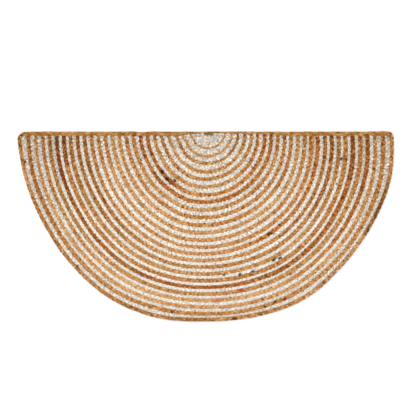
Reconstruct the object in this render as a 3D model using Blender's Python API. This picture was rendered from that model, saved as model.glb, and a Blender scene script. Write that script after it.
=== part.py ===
"""Half-round jute doormat: half rings of plaited jute, sewn side by side inside one edge plait.

The mat lies flat on z = 0 with its straight side along X at +Y, and its origin is the middle of its base.
A ring's angle is 0 at the left end of the straight side, 90 at the middle of the arc and 180 at the right end.
Sizes and tables are in millimetres. Each plait is one solid, domed on top and flat below.
"""

import math
from typing import NamedTuple

import bmesh
import bpy
from mathutils import Vector

MM = 0.001
COLLECTION_NAME = "half_round_jute_doormat"

STRAIGHT_SIDE_Y = 227.8
RING_CENTRE = (3.1, 228.3)
RING_PAIRS = 24
EDGE_RING = RING_PAIRS + 1
PLAIT_GAP = 0.35

EDGE_PLAIT_WIDTH = 9.5
EDGE_PLAIT_HEIGHT = 8.5
WHITE_PLAIT_HEIGHT = 7.8
NATURAL_PLAIT_HEIGHT = 8.2
SQUEEZED_HEIGHT_SHARE = 0.75
FULL_PLAIT_WIDTH = 8.5

LEFT_CORNER_RADIUS = 20.0
CORNER_STEP = 18

# Steps between a plait's sections, in degrees round the ring centre.
INNER_RING_STEP = 15.0
OUTER_RING_STEP = 7.5
EDGE_STEP = 3.75
LAST_INNER_RING = 2
LEAST_STEP_SHARE = 0.4
HALVINGS = 40

# The core's three windings, as shares of its radius, and the angles of the innermost one's sections.
CORE_CENTRE_SHARE = 0.37
CORE_MIDDLE_SHARE = 0.69
CORE_CENTRE_ANGLES = range(30, 151, 15)

SHARP_EDGE = math.radians(50)
DISPLAY_GAMMA = 2.2


class RingRadii(NamedTuple):
    """How far some rings, and the mat's outline, lie from the ring centre at one angle."""

    angle: float
    ring_1: float
    ring_7: float
    ring_13: float
    ring_19: float
    ring_24: float
    outline: float


RING_RADII = (
    RingRadii(0, 42, 143, 244, 343, 427, 455),
    RingRadii(15, 39, 143, 243, 345, 428, 452),
    RingRadii(30, 37, 143, 246, 347, 428, 451),
    RingRadii(45, 39, 147, 251, 353, 434, 457),
    RingRadii(60, 40, 149, 257, 359, 441, 464),
    RingRadii(75, 40, 153, 263, 360, 440, 463),
    RingRadii(90, 41, 152, 261, 358, 437, 456),
    RingRadii(105, 41, 150, 257, 358, 440, 460),
    RingRadii(120, 42, 148, 253, 359, 441, 466),
    RingRadii(135, 43, 145, 251, 354, 438, 459),
    RingRadii(150, 43, 143, 246, 347, 434, 456),
    RingRadii(165, 44, 141, 239, 340, 430, 456),
    RingRadii(180, 43, 137, 233, 330, 419, 447),
)
MEASURED_RINGS = (1, 7, 13, 19, 24, EDGE_RING)


class Share(NamedTuple):
    """How much of the space from one natural ring to the next the natural plait takes."""

    ring: float
    share: float


NATURAL_SHARES = (
    Share(1, 0.18),
    Share(2, 0.22),
    Share(4, 0.31),
    Share(8, 0.37),
    Share(14, 0.44),
    Share(20, 0.52),
    Share(25, 0.53),
)


class EdgeStation(NamedTuple):
    """The edge plait's width at one place along the straight side, and how far its outer side is drawn in."""

    x: float
    width: float
    drawn_in: float


EDGE_STATIONS = (
    EdgeStation(-431.0, 9.5, 0.0),
    EdgeStation(-300.0, 9.0, 0.0),
    EdgeStation(-180.0, 9.0, 0.0),
    EdgeStation(-65.0, 8.5, 0.0),
    EdgeStation(-38.0, 4.0, 0.0),
    EdgeStation(50.0, 3.8, 0.0),
    EdgeStation(150.0, 4.0, 0.0),
    EdgeStation(178.0, 8.5, 0.0),
    EdgeStation(300.0, 9.0, 0.0),
    EdgeStation(443.0, 9.0, 0.0),
    EdgeStation(447.5, 9.0, 1.0),
    EdgeStation(449.5, 9.0, 3.5),
)


class SectionPoint(NamedTuple):
    """One corner of a plait's section: its place from the inner to the outer side, and its height."""

    across: float
    height: float


PLAIT_SECTION = (
    SectionPoint(0.10, 0.0),
    SectionPoint(0.0, 0.45),
    SectionPoint(0.24, 1.0),
    SectionPoint(0.76, 1.0),
    SectionPoint(1.0, 0.45),
    SectionPoint(0.90, 0.0),
)


class Finish(NamedTuple):
    """A material: its name, its colour as seen (0 to 255) and its roughness."""

    name: str
    colour: tuple
    roughness: float


NATURAL_JUTE = Finish("natural_jute", (193, 126, 68), 0.85)
WHITE_JUTE = Finish("white_jute", (228, 224, 214), 0.85)
EDGE_JUTE = Finish("edge_jute", (176, 120, 62), 0.85)


def between(pairs, at):
    """The value at a place on a table of (place, value) pairs, straight from one row to the next."""
    for (low, first), (high, second) in zip(pairs, pairs[1:]):
        if at <= high:
            break
    part = min(max((at - low) / (high - low), 0.0), 1.0)
    return first + (second - first) * part


def smooth(values, at):
    """The value at a place along evenly spaced values, on a smooth curve through them."""
    index = min(int(at), len(values) - 2)
    part = at - index
    before = values[index - 1] if index else 2 * values[0] - values[1]
    first, second = values[index], values[index + 1]
    after = values[index + 2] if index + 2 < len(values) else 2 * second - first
    slope, end_slope = (second - before) / 2, (after - first) / 2
    bend = 3 * (second - first) - 2 * slope - end_slope
    return first + slope * part + bend * part**2 + (slope + end_slope - 2 * (second - first)) * part**3


def measured_radii(angle):
    """The radii of the measured rings at any angle, with the edge plait's middle as the last."""
    angles, *columns = zip(*RING_RADII)
    at = angle / (angles[1] - angles[0])
    radii = [smooth(column, at) for column in columns]
    radii[-1] -= EDGE_PLAIT_WIDTH / 2
    return radii


def ring_radius(ring, angle):
    """How far the middle of a natural ring lies from the ring centre."""
    return between(tuple(zip(MEASURED_RINGS, measured_radii(angle))), ring)


def natural_sides(ring, angle):
    """The inner and outer radius of a natural ring, or of the edge plait, which is the last one."""
    middle = ring_radius(ring, angle)
    half = EDGE_PLAIT_WIDTH / 2
    if ring < EDGE_RING:
        inner, outer = max(ring - 0.5, 1), ring + 0.5
        pitch = (ring_radius(outer, angle) - ring_radius(inner, angle)) / (outer - inner)
        half = between(NATURAL_SHARES, ring) * pitch / 2
    return middle - half, middle + half


def white_sides(ring, angle):
    """The inner and outer radius of the white ring outside a natural ring."""
    inner = natural_sides(ring, angle)[1] + PLAIT_GAP
    outer = natural_sides(ring + 1, angle)[0] - PLAIT_GAP
    return inner, outer


def core_radius(angle):
    """The radius of the white core, inside the first natural ring."""
    return natural_sides(1, angle)[0] - PLAIT_GAP


def edge_width(x):
    """The edge plait's width at a place along the straight side."""
    return between(tuple((station.x, station.width) for station in EDGE_STATIONS), x)


def on_ring(radius, angle):
    """A point on a ring, seen from above."""
    turn = math.radians(angle)
    return RING_CENTRE[0] - radius * math.cos(turn), RING_CENTRE[1] - radius * math.sin(turn)


def left_corner():
    """The middle of the left corner's arc, and the angle at which the arc of the outline meets it."""
    level = STRAIGHT_SIDE_Y - LEFT_CORNER_RADIUS
    radius = RING_RADII[0].outline
    angle = math.degrees(math.asin((RING_CENTRE[1] - level) / radius))
    x = on_ring(radius, angle)[0] + LEFT_CORNER_RADIUS
    return x, level, angle


def field_top(x):
    """How far up the rings reach at a place along the straight side, inside the edge plait."""
    corner_x, corner_y, _ = left_corner()
    straight = STRAIGHT_SIDE_Y - edge_width(x) - PLAIT_GAP
    if x >= corner_x:
        return straight
    inside = LEFT_CORNER_RADIUS - EDGE_PLAIT_WIDTH - PLAIT_GAP
    reach = math.sqrt(max(inside**2 - (corner_x - x) ** 2, 0.0))
    return min(straight, corner_y + reach)


def end_angle(radius_at, right):
    """The angle at which one line of a ring meets the edge plait, at its left or right end."""
    clear, past = 90.0, 180.0 if right else 0.0
    for _ in range(HALVINGS):
        angle = (clear + past) / 2
        x, y = on_ring(radius_at(angle), angle)
        if y < field_top(x):
            clear = angle
        else:
            past = angle
    return clear


def section_points(place_at, height):
    """A plait's section, from a function that gives the place across it seen from above."""
    return [Vector((*place_at(point.across), point.height * height)) * MM for point in PLAIT_SECTION]


def ring_sections(sides, height, step, ends=(True, True)):
    """Sections of a half ring from its left to its right end, cut along the edge plait at each end asked for."""

    def radius(across, angle):
        inner, outer = sides(angle)
        return inner + (outer - inner) * across

    def line_end(across, right):
        return end_angle(lambda angle: radius(across, angle), right)

    def cut(right):
        def place(across):
            angle = line_end(across, right)
            return on_ring(radius(across, angle), angle)

        return section_points(place, height)

    first = max(line_end(point.across, False) for point in PLAIT_SECTION) if ends[0] else 0.0
    last = min(line_end(point.across, True) for point in PLAIT_SECTION) if ends[1] else 180.0
    margin = LEAST_STEP_SHARE * step
    angles = [number * step for number in range(1, round(180 / step))]
    sections = [
        section_points(lambda across, at=angle: on_ring(radius(across, at), at), height)
        for angle in angles
        if first + margin < angle < last - margin
    ]
    left = [cut(False)] if ends[0] else []
    right = [cut(True)] if ends[1] else []
    return left + sections + right


def corner_sections():
    """Sections of the edge plait round the left corner, from the arc to the straight side."""
    corner_x, corner_y, arc_angle = left_corner()
    sections = []
    for turn in range(int(180 - arc_angle), 90, -CORNER_STEP):

        def place(across, angle=math.radians(turn)):
            radius = LEFT_CORNER_RADIUS - EDGE_PLAIT_WIDTH * (1 - across)
            return corner_x + radius * math.cos(angle), corner_y + radius * math.sin(angle)

        sections.append(section_points(place, EDGE_PLAIT_HEIGHT))
    return sections


def straight_sections():
    """Sections of the edge plait along the straight side, from left to right."""
    sections = []
    for station in EDGE_STATIONS:

        def place(across, station=station):
            low = STRAIGHT_SIDE_Y - station.width
            high = STRAIGHT_SIDE_Y - station.drawn_in
            return station.x, low + (high - low) * across

        sections.append(section_points(place, EDGE_PLAIT_HEIGHT))
    return sections


def edge_sections():
    """Sections of the edge plait: up the right end, back round the arc, then along the straight side."""
    arc = ring_sections(
        lambda angle: natural_sides(EDGE_RING, angle), EDGE_PLAIT_HEIGHT, EDGE_STEP, (False, True)
    )
    arc_angle = left_corner()[2]
    within_corner = math.floor(arc_angle / EDGE_STEP + LEAST_STEP_SHARE)
    return list(reversed(arc[within_corner:])) + corner_sections() + straight_sections()


def core_centre_sections():
    """Sections of the folded start of the winding, a small half-round lump, from left to right."""
    sections = []
    for angle in CORE_CENTRE_ANGLES:
        x, low = on_ring(core_radius(angle) * CORE_CENTRE_SHARE - PLAIT_GAP, angle)

        def place(across, x=x, low=low):
            return x, low + (field_top(x) - low) * (1 - across)

        sections.append(section_points(place, WHITE_PLAIT_HEIGHT))
    return sections


def jute_material(finish):
    """A plain material for one kind of jute."""
    material = bpy.data.materials.new(finish.name)
    material.use_nodes = True
    shader = material.node_tree.nodes["Principled BSDF"]
    linear = [(channel / 255) ** DISPLAY_GAMMA for channel in finish.colour]
    shader.inputs["Base Color"].default_value = (*linear, 1)
    shader.inputs["Roughness"].default_value = finish.roughness
    shader.inputs["Metallic"].default_value = 0.0
    return material


def extrude_plait(name, sections, material, parent, collection):
    """One plait: its first section is a face, which is extruded to each next section in turn."""
    origin = Vector((*RING_CENTRE, 0.0)) * MM
    shape = bmesh.new()
    face = shape.faces.new([shape.verts.new(point - origin) for point in sections[0]])
    for number, section in enumerate(sections[1:]):
        made = bmesh.ops.extrude_face_region(shape, geom=[face])["geom"]
        if number:
            bmesh.ops.delete(shape, geom=[face], context="FACES_ONLY")
        face = next(item for item in made if isinstance(item, bmesh.types.BMFace))
        for vertex, point in zip(face.verts, section):
            vertex.co = point - origin
    bmesh.ops.recalc_face_normals(shape, faces=shape.faces)
    mesh = bpy.data.meshes.new(name)
    shape.to_mesh(mesh)
    shape.free()
    mesh.materials.append(material)
    mesh.shade_smooth()
    mesh.set_sharp_from_angle(angle=SHARP_EDGE)
    plait = bpy.data.objects.new(name, mesh)
    plait.location = origin
    plait.parent = parent
    collection.objects.link(plait)


def natural_height(ring):
    """A natural plait's height, less where it is squeezed between wide white ones."""
    inner, outer = natural_sides(ring, 90)
    fullness = min((outer - inner) / FULL_PLAIT_WIDTH, 1.0)
    return NATURAL_PLAIT_HEIGHT * (SQUEEZED_HEIGHT_SHARE + (1 - SQUEEZED_HEIGHT_SHARE) * fullness)


def clear_scene():
    """Removes what the scene starts with."""
    for item in list(bpy.data.objects):
        bpy.data.objects.remove(item, do_unlink=True)


def build_core(white, parent, collection):
    """The white winding inside the first natural ring: a folded start and two half rings."""
    extrude_plait("white_core_1", core_centre_sections(), white, parent, collection)
    windings = ((CORE_CENTRE_SHARE, CORE_MIDDLE_SHARE, PLAIT_GAP), (CORE_MIDDLE_SHARE, 1.0, 0.0))
    for number, (low, high, gap) in enumerate(windings, start=2):

        def sides(angle, low=low, high=high, gap=gap):
            return core_radius(angle) * low, core_radius(angle) * high - gap

        sections = ring_sections(sides, WHITE_PLAIT_HEIGHT, INNER_RING_STEP)
        extrude_plait(f"white_core_{number}", sections, white, parent, collection)


def build_rings(natural, white, parent, collection):
    """The pairs of a natural and a white half ring, from the smallest to the largest."""
    for ring in range(1, RING_PAIRS + 1):
        step = INNER_RING_STEP if ring <= LAST_INNER_RING else OUTER_RING_STEP

        def natural_at(angle, ring=ring):
            return natural_sides(ring, angle)

        def white_at(angle, ring=ring):
            return white_sides(ring, angle)

        sections = ring_sections(natural_at, natural_height(ring), step)
        extrude_plait(f"natural_plait_{ring:02d}", sections, natural, parent, collection)
        sections = ring_sections(white_at, WHITE_PLAIT_HEIGHT, step)
        extrude_plait(f"white_plait_{ring:02d}", sections, white, parent, collection)


def main():
    """Builds the whole mat."""
    clear_scene()
    collection = bpy.data.collections.new(COLLECTION_NAME)
    bpy.context.scene.collection.children.link(collection)
    mat_base = bpy.data.objects.new("doormat_base", None)
    collection.objects.link(mat_base)
    natural = jute_material(NATURAL_JUTE)
    white = jute_material(WHITE_JUTE)
    edge = jute_material(EDGE_JUTE)
    build_core(white, mat_base, collection)
    build_rings(natural, white, mat_base, collection)
    extrude_plait("edge_plait", edge_sections(), edge, mat_base, collection)


main()
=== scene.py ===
"""Looks of a half-round doormat of plaited jute, lying on a plain pale floor.

Every plait is braided here from three strands of jute, laid where its solid lies. The rings'
sizes are those of the solids, in millimetres. A ring's angle is 0 at the left end of the
straight side, 90 at the middle of the arc and 180 at the right end. Routes run from the right
end, round the arc, to the left.
"""

import logging
import math
from dataclasses import dataclass, field
from enum import Enum
from typing import Callable, NamedTuple

import bpy
import numpy as np
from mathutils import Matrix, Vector
from numpy.typing import NDArray

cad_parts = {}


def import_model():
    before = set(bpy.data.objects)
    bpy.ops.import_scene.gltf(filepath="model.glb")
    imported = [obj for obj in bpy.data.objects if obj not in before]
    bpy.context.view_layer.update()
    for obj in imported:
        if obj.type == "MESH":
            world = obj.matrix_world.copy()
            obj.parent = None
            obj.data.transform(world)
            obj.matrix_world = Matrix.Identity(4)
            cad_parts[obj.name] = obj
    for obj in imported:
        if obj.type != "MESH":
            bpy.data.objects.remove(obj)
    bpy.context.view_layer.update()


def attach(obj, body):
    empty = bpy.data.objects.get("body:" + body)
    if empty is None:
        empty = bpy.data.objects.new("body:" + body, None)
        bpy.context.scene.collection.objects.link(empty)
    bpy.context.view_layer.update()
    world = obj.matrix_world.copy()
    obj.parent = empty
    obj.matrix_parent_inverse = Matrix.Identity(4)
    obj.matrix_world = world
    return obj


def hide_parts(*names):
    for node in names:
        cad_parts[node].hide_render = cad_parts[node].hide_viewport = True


Array = NDArray[np.float64]
Colour = tuple[int, int, int]
Sides = Callable[[Array], tuple[Array, Array]]
Socket = bpy.types.NodeSocket
Feed = Socket | float | tuple[float, float, float, float]

MM = 0.001
BODY = "root"
CORE_RING = 0
RING_PAIRS = 24
EDGE_RING = RING_PAIRS + 1
MIDDLE_ANGLE = 90.0
STRANDS = 3
SPARE_KNOTS = 5
DISPLAY_GAMMA = 2.2
STRAND_MAP = "strand"
BAKE_MAP = "OFBake"

log = logging.getLogger("doormat")


class Jute(Enum):
    """The kinds of jute, each named as the record's material slot is."""

    NATURAL = "natural_jute"
    WHITE = "white_jute"
    EDGE = "edge_jute"


class RingRadii(NamedTuple):
    """How far some rings, and the mat's outline, lie from the ring centre at one angle."""

    angle: float
    ring_1: float
    ring_7: float
    ring_13: float
    ring_19: float
    ring_24: float
    outline: float


RING_RADII = (
    RingRadii(0, 42, 143, 244, 343, 427, 455),
    RingRadii(15, 39, 143, 243, 345, 428, 452),
    RingRadii(30, 37, 143, 246, 347, 428, 451),
    RingRadii(45, 39, 147, 251, 353, 434, 457),
    RingRadii(60, 40, 149, 257, 359, 441, 464),
    RingRadii(75, 40, 153, 263, 360, 440, 463),
    RingRadii(90, 41, 152, 261, 358, 437, 456),
    RingRadii(105, 41, 150, 257, 358, 440, 460),
    RingRadii(120, 42, 148, 253, 359, 441, 466),
    RingRadii(135, 43, 145, 251, 354, 438, 459),
    RingRadii(150, 43, 143, 246, 347, 434, 456),
    RingRadii(165, 44, 141, 239, 340, 430, 456),
    RingRadii(180, 43, 137, 233, 330, 419, 447),
)
MEASURED_RINGS = (1, 7, 13, 19, 24, EDGE_RING)


class Share(NamedTuple):
    """How much of the space from one natural ring to the next the natural plait takes."""

    ring: float
    share: float


NATURAL_SHARES = (
    Share(1, 0.18),
    Share(2, 0.22),
    Share(4, 0.31),
    Share(8, 0.37),
    Share(14, 0.44),
    Share(20, 0.52),
    Share(25, 0.53),
)


class Widening(NamedTuple):
    """A stretch of a white ring that is wider, or below 0 narrower, than the shares give."""

    ring: int
    start: float
    end: float
    width: float


WIDENINGS = (
    Widening(1, 0, 180, 1.3),
    Widening(2, 0, 110, -2.4),
    Widening(3, 0, 145, 1.2),
    Widening(4, 95, 180, -1.2),
    Widening(5, 145, 180, -1.5),
    Widening(6, 38, 65, -2.6),
    Widening(6, 90, 115, 1.6),
    Widening(7, 35, 180, -1.6),
    Widening(11, 0, 60, -1.0),
    Widening(11, 130, 180, 1.6),
    Widening(13, 0, 155, 1.0),
    Widening(13, 165, 180, -2.2),
    Widening(14, 15, 85, 1.3),
    Widening(14, 95, 180, -1.7),
    Widening(15, 125, 180, 1.8),
    Widening(18, 0, 50, -1.8),
    Widening(19, 95, 180, -1.4),
    Widening(20, 0, 110, 0.8),
    Widening(20, 115, 165, -1.6),
    Widening(22, 0, 180, 1.2),
    Widening(22, 0, 35, 2.0),
    Widening(23, 0, 180, 0.8),
    Widening(23, 0, 18, 2.4),
    Widening(23, 162, 180, 2.6),
)


class EdgeStation(NamedTuple):
    """The edge plait's width at one place along the straight side."""

    x: float
    width: float


EDGE_STATIONS = (
    EdgeStation(-431.0, 9.5),
    EdgeStation(-300.0, 9.0),
    EdgeStation(-65.0, 8.5),
    EdgeStation(-38.0, 4.0),
    EdgeStation(50.0, 3.8),
    EdgeStation(150.0, 4.0),
    EdgeStation(178.0, 8.5),
    EdgeStation(300.0, 9.0),
    EdgeStation(449.5, 9.0),
)


def smoothstep(value: Array) -> Array:
    """A soft step from 0 to 1 as the value goes from 0 to 1."""
    part = np.clip(value, 0.0, 1.0)
    return part * part * (3 - 2 * part)


def within(angles: Array, start: float, end: float, fade: float) -> Array:
    """1 between two angles and 0 outside them, with soft changes, but none at 0 or 180 degrees.

    Args:
        angles: Angles in degrees.
        start: The lower of the two.
        end: The upper of the two.
        fade: The angle over which it changes.

    Returns:
        The value at each angle.
    """
    low = smoothstep((angles - start) / fade + 0.5) if start > 0 else 1.0
    high = smoothstep((end - angles) / fade + 0.5) if end < 180 else 1.0
    return low * high * np.ones_like(angles)


def read_along(places: Array, along: Array, values: Array) -> Array:
    """Reads columns of values at places along a line, from those at its points."""
    return np.stack([np.interp(places, along, column) for column in values.T], axis=1)


@dataclass(frozen=True)
class RingPlan:
    """Where the rings lie, in millimetres.

    Attributes:
        side_y: Where the straight side lies.
        centre: The ring centre, from which every radius is measured.
        gap: The space between neighbouring solids.
        edge_width: The edge plait's width round the arc.
        corner_radius: The radius of the left corner.
        dense_steps: How many steps a half ring is worked out in.
        fade: The angle over which a widening comes and goes, in degrees.
    """

    side_y: float = 227.8
    centre: tuple[float, float] = (3.1, 228.3)
    gap: float = 0.35
    edge_width: float = 9.5
    corner_radius: float = 20.0
    dense_steps: int = 3600
    fade: float = 8.0

    def measured(self, angles: Array) -> Array:
        """The radii of the measured rings, with the edge plait's middle as the last.

        A smooth curve runs through the table's values, with the slope that their neighbours give.

        Args:
            angles: Angles in degrees.

        Returns:
            One row of radii for each measured ring.
        """
        table = np.array(RING_RADII, float)
        at = angles / (table[1, 0] - table[0, 0])
        index = np.clip(np.floor(at).astype(int), 0, len(table) - 2)
        part = at - index
        rows = []
        for values in table[:, 1:].T:
            ends = (2 * values[0] - values[1], 2 * values[-1] - values[-2])
            padded = np.concatenate([ends[:1], values, ends[1:]])
            before, first, second, after = (padded[index + shift] for shift in range(4))
            slope, end_slope = (second - before) / 2, (after - first) / 2
            bend = 3 * (second - first) - 2 * slope - end_slope
            turn = slope + end_slope - 2 * (second - first)
            rows.append(first + slope * part + bend * part**2 + turn * part**3)
        rows[-1] = rows[-1] - self.edge_width / 2
        return np.array(rows)

    def middle(self, ring: float, angles: Array) -> Array:
        """How far the middle of a ring lies from the ring centre.

        Args:
            ring: A natural ring's number, or one between two of them.
            angles: Angles in degrees.

        Returns:
            The radius at each angle.
        """
        rows = self.measured(angles)
        column = min(np.searchsorted(MEASURED_RINGS, ring, side="right") - 1, len(rows) - 2)
        low, high = MEASURED_RINGS[column], MEASURED_RINGS[column + 1]
        return rows[column] + (rows[column + 1] - rows[column]) * (ring - low) / (high - low)

    def natural_sides(self, ring: int, angles: Array) -> tuple[Array, Array]:
        """The sides of a natural ring, or of the edge plait, which is the last one.

        Args:
            ring: The ring's number.
            angles: Angles in degrees.

        Returns:
            The inner and the outer radius at each angle.
        """
        middle = self.middle(ring, angles)
        if ring >= EDGE_RING:
            return middle - self.edge_width / 2, middle + self.edge_width / 2
        inner, outer = max(ring - 0.5, 1), ring + 0.5
        pitch = (self.middle(outer, angles) - self.middle(inner, angles)) / (outer - inner)
        half = np.interp(ring, *zip(*NATURAL_SHARES)) * pitch / 2
        inner_give, outer_give = self.widening(ring - 1, angles) / 2, self.widening(ring, angles) / 2
        return middle - half + inner_give, middle + half - outer_give

    def widening(self, ring: int, angles: Array) -> Array:
        """How much wider than usual the white ring outside a natural ring is.

        Args:
            ring: The natural ring's number.
            angles: Angles in degrees.

        Returns:
            The additional width at each angle.
        """
        total = np.zeros_like(angles)
        for stretch in WIDENINGS:
            if stretch.ring == ring:
                total += stretch.width * within(angles, stretch.start, stretch.end, self.fade)
        return total

    def white_sides(self, ring: int, angles: Array) -> tuple[Array, Array]:
        """The sides of the white ring outside a natural ring.

        Args:
            ring: The natural ring's number.
            angles: Angles in degrees.

        Returns:
            The inner and the outer radius at each angle.
        """
        inner = self.natural_sides(ring, angles)[1] + self.gap
        outer = self.natural_sides(ring + 1, angles)[0] - self.gap
        return inner, outer

    def core_radius(self, angles: Array) -> Array:
        """The radius of the white core, inside the first natural ring."""
        return self.natural_sides(1, angles)[0] - self.gap

    def on_ring(self, radii: Array, angles: Array) -> Array:
        """Places on a ring.

        Args:
            radii: How far they lie from the ring centre.
            angles: Their angles in degrees.

        Returns:
            Their points, seen from above.
        """
        turn = np.radians(angles)
        x = self.centre[0] - radii * np.cos(turn)
        return np.stack([x, self.centre[1] - radii * np.sin(turn)], axis=1)

    def edge_width_at(self, x: Array) -> Array:
        """The edge plait's width along the straight side."""
        return np.interp(x, *zip(*EDGE_STATIONS))

    def left_corner(self) -> tuple[float, float, float]:
        """Works out the left corner.

        Returns:
            The x and y of its arc's middle, and the ring angle at which the outline meets it.
        """
        level = self.side_y - self.corner_radius
        radius = RING_RADII[0].outline
        angle = math.degrees(math.asin((self.centre[1] - level) / radius))
        x = self.on_ring(np.array([radius]), np.array([angle]))[0, 0] + self.corner_radius
        return x, level, angle

    def field_top(self, x: Array) -> Array:
        """How far up the rings reach along the straight side, inside the edge plait.

        Args:
            x: Places along the straight side.

        Returns:
            The y that they reach at each place.
        """
        corner_x, corner_y, _ = self.left_corner()
        straight = self.side_y - self.edge_width_at(x) - self.gap
        inside = self.corner_radius - self.edge_width - self.gap
        reach = np.sqrt(np.maximum(inside**2 - np.minimum(x - corner_x, 0.0) ** 2, 0.0))
        return np.where(x >= corner_x, straight, np.minimum(straight, corner_y + reach))


@dataclass
class Route:
    """A plait's way seen from above, and its size along it, in millimetres.

    Attributes:
        points: Points of its middle line.
        width: Its width at each point.
        height: Its height at each point.
        roll: How far it is turned about its middle line, in radians, at each point.
        turn: The length in which a strand goes from side to side and back, at each point.
    """

    points: Array
    width: Array
    height: Array
    roll: Array
    turn: Array

    def lengths(self) -> Array:
        """The length along the route at each point."""
        steps = np.linalg.norm(np.diff(self.points, axis=0), axis=1)
        return np.concatenate([[0.0], np.cumsum(steps)])

    def to_end(self) -> Array:
        """How far each point lies from the nearer end, along the route."""
        along = self.lengths()
        return np.minimum(along, along[-1] - along)

    def stepped(self, step: float) -> "Route":
        """The same route with evenly spaced points.

        Args:
            step: The spacing in millimetres.

        Returns:
            The new route.
        """
        along = self.lengths()
        at = np.linspace(0.0, along[-1], round(along[-1] / step) + 1)
        sizes = (self.width, self.height, self.roll, self.turn)
        points = read_along(at, along, self.points)
        return Route(points, *(np.interp(at, along, values) for values in sizes))

    def outward(self) -> Array:
        """Works out the way to the outer side, on the left of the way the route runs.

        Returns:
            A unit vector at each point.
        """
        ahead = np.gradient(self.points, axis=0)
        ahead /= np.linalg.norm(ahead, axis=1, keepdims=True)
        return np.stack([-ahead[:, 1], ahead[:, 0]], axis=1)


@dataclass
class RouteMaker:
    """Lays out the plaits' routes on the plan of the rings.

    Attributes:
        tuck_share: How far a ring's end goes under the edge plait, as a share of that plait's width.
        white_overlap: How much wider than its ring a white plait is, as its lobes reach between others.
        natural_overlaps: The same for natural plaits, as pairs of a ring and a width.
        core_overlap: The same for the core's plaits.
        white_ease: How much wider, or below 0 narrower, a white plait's right end is than that.
        natural_ease: The same for a natural plait.
        first_eased: The first ring with such an end.
        last_eased_white: The last white ring with one.
        ease_start: The angle at which it starts.
        ease_length: The angle over which it grows.
        squeezed_share: How high a natural plait without any width would be, as a share of a full one.
        full_width: The width from which a natural plait has its full height.
        end_length: The length over which a ring's end dips.
        end_drop: How much lower its tip lies, as a share of its height.
        core_centre_share: The radius of the core's folded start, as a share of the core's.
        core_middle_share: The radius between the core's two turns, as a share of the core's.
        start_insets: How far the folded start's line lies inside that radius, in x and in y.
        start_rise: How far its ends reach under the edge plait.
        start_width_share: Its width, as a share of its radius.
        side_overlap: How much wider than its solid the plait of the straight side is.
        side_shift: How far it stands out past the straight side.
        side_step: The spacing of the points along it.
        corner_step: The turn from one point of the left corner to the next, in degrees.
        bend_step: The same for the bend at the right end.
        end_bend: That bend's radius.
        end_taper: The length over which the edge plait's ends narrow.
        end_share: How wide its tips are, as a share of its width.
    """

    plan: RingPlan
    tuck_share: float = 0.33
    white_overlap: float = 1.6
    natural_overlaps: tuple[tuple[float, float], ...] = ((1, 3.6), (3, 5.2), (10, 5.2), (18, 2.8))
    core_overlap: float = 3.4
    white_ease: float = -1.8
    natural_ease: float = 0.8
    first_eased: int = 10
    last_eased_white: int = 21
    ease_start: float = 150.0
    ease_length: float = 25.0
    white_height: float = 7.8
    natural_height: float = 8.2
    edge_height: float = 8.5
    squeezed_share: float = 0.9
    full_width: float = 8.5
    end_length: float = 7.0
    end_drop: float = 0.35
    core_centre_share: float = 0.37
    core_middle_share: float = 0.69
    start_insets: tuple[float, float] = (3.0, 5.0)
    start_rise: float = 1.0
    start_width_share: float = 0.85
    start_steps: int = 60
    natural_turn: float = 38.4
    white_turn: float = 31.0
    core_turn: float = 24.0
    side_turn: float = 120.0
    side_overlap: float = 2.6
    side_shift: float = 0.4
    side_step: float = 1.0
    corner_step: float = 4.0
    bend_step: float = 10.0
    end_bend: float = 2.0
    end_taper: float = 5.0
    end_share: float = 0.8

    def half_ring(
        self, sides: Sides, height: float, overlap: float, turn: float, ease: float = 0.0
    ) -> Route:
        """A half ring that dips under the edge plait at both ends.

        Args:
            sides: Gives the inner and outer radius at angles in degrees.
            height: The plait's height away from its ends.
            overlap: How much wider the plait is, so that its lobes reach in between its neighbours'.
            turn: The length of a full turn of its strands.
            ease: How much wider still, or below 0 narrower, its right end is.

        Returns:
            The route, from its right end to its left.
        """
        angles = np.linspace(180.0, 0.0, self.plan.dense_steps + 1)
        inner, outer = sides(angles)
        points = self.plan.on_ring((inner + outer) / 2, angles)
        tuck = self.tuck_share * self.plan.edge_width_at(points[:, 0])
        inside = np.flatnonzero(points[:, 1] < self.plan.field_top(points[:, 0]) + tuck)
        kept = slice(inside[0], inside[-1] + 1)
        eased = smoothstep((angles[kept] - self.ease_start) / self.ease_length)
        width = (outer - inner)[kept] + overlap + ease * eased
        flat = np.zeros(len(width))
        route = Route(points[kept], width, flat + height, flat, flat + turn)
        dip = 1 - smoothstep(route.to_end() / self.end_length)
        route.height = height * (1 - self.end_drop * dip)
        return route

    def natural(self, ring: int) -> Route:
        """The route of a natural ring, lower where it is squeezed between wide white ones.

        Args:
            ring: The ring's number.

        Returns:
            The route, from its right end to its left.
        """
        inner, outer = self.plan.natural_sides(ring, np.array([MIDDLE_ANGLE]))
        fullness = min(float(outer[0] - inner[0]) / self.full_width, 1.0)
        height = self.natural_height * (self.squeezed_share + (1 - self.squeezed_share) * fullness)
        return self.half_ring(
            lambda angles: self.plan.natural_sides(ring, angles),
            height,
            float(np.interp(ring, *zip(*self.natural_overlaps))),
            self.natural_turn,
            self.natural_ease * (ring >= self.first_eased),
        )

    def white(self, ring: int) -> Route:
        """The route of the white ring outside a natural ring.

        Args:
            ring: The natural ring's number.

        Returns:
            The route, from its right end to its left.
        """
        return self.half_ring(
            lambda angles: self.plan.white_sides(ring, angles),
            self.white_height,
            self.white_overlap,
            self.white_turn,
            self.white_ease * (self.first_eased <= ring <= self.last_eased_white),
        )

    def core_ring(self, low: float, high: float) -> Route:
        """The route of one turn of the core.

        Args:
            low: Its inner radius, as a share of the core's.
            high: Its outer radius, as a share of the core's.

        Returns:
            The route, from its right end to its left.
        """

        def sides(angles: Array) -> tuple[Array, Array]:
            """The turn's inner and outer radius."""
            radius = self.plan.core_radius(angles)
            return radius * low, radius * high

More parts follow.
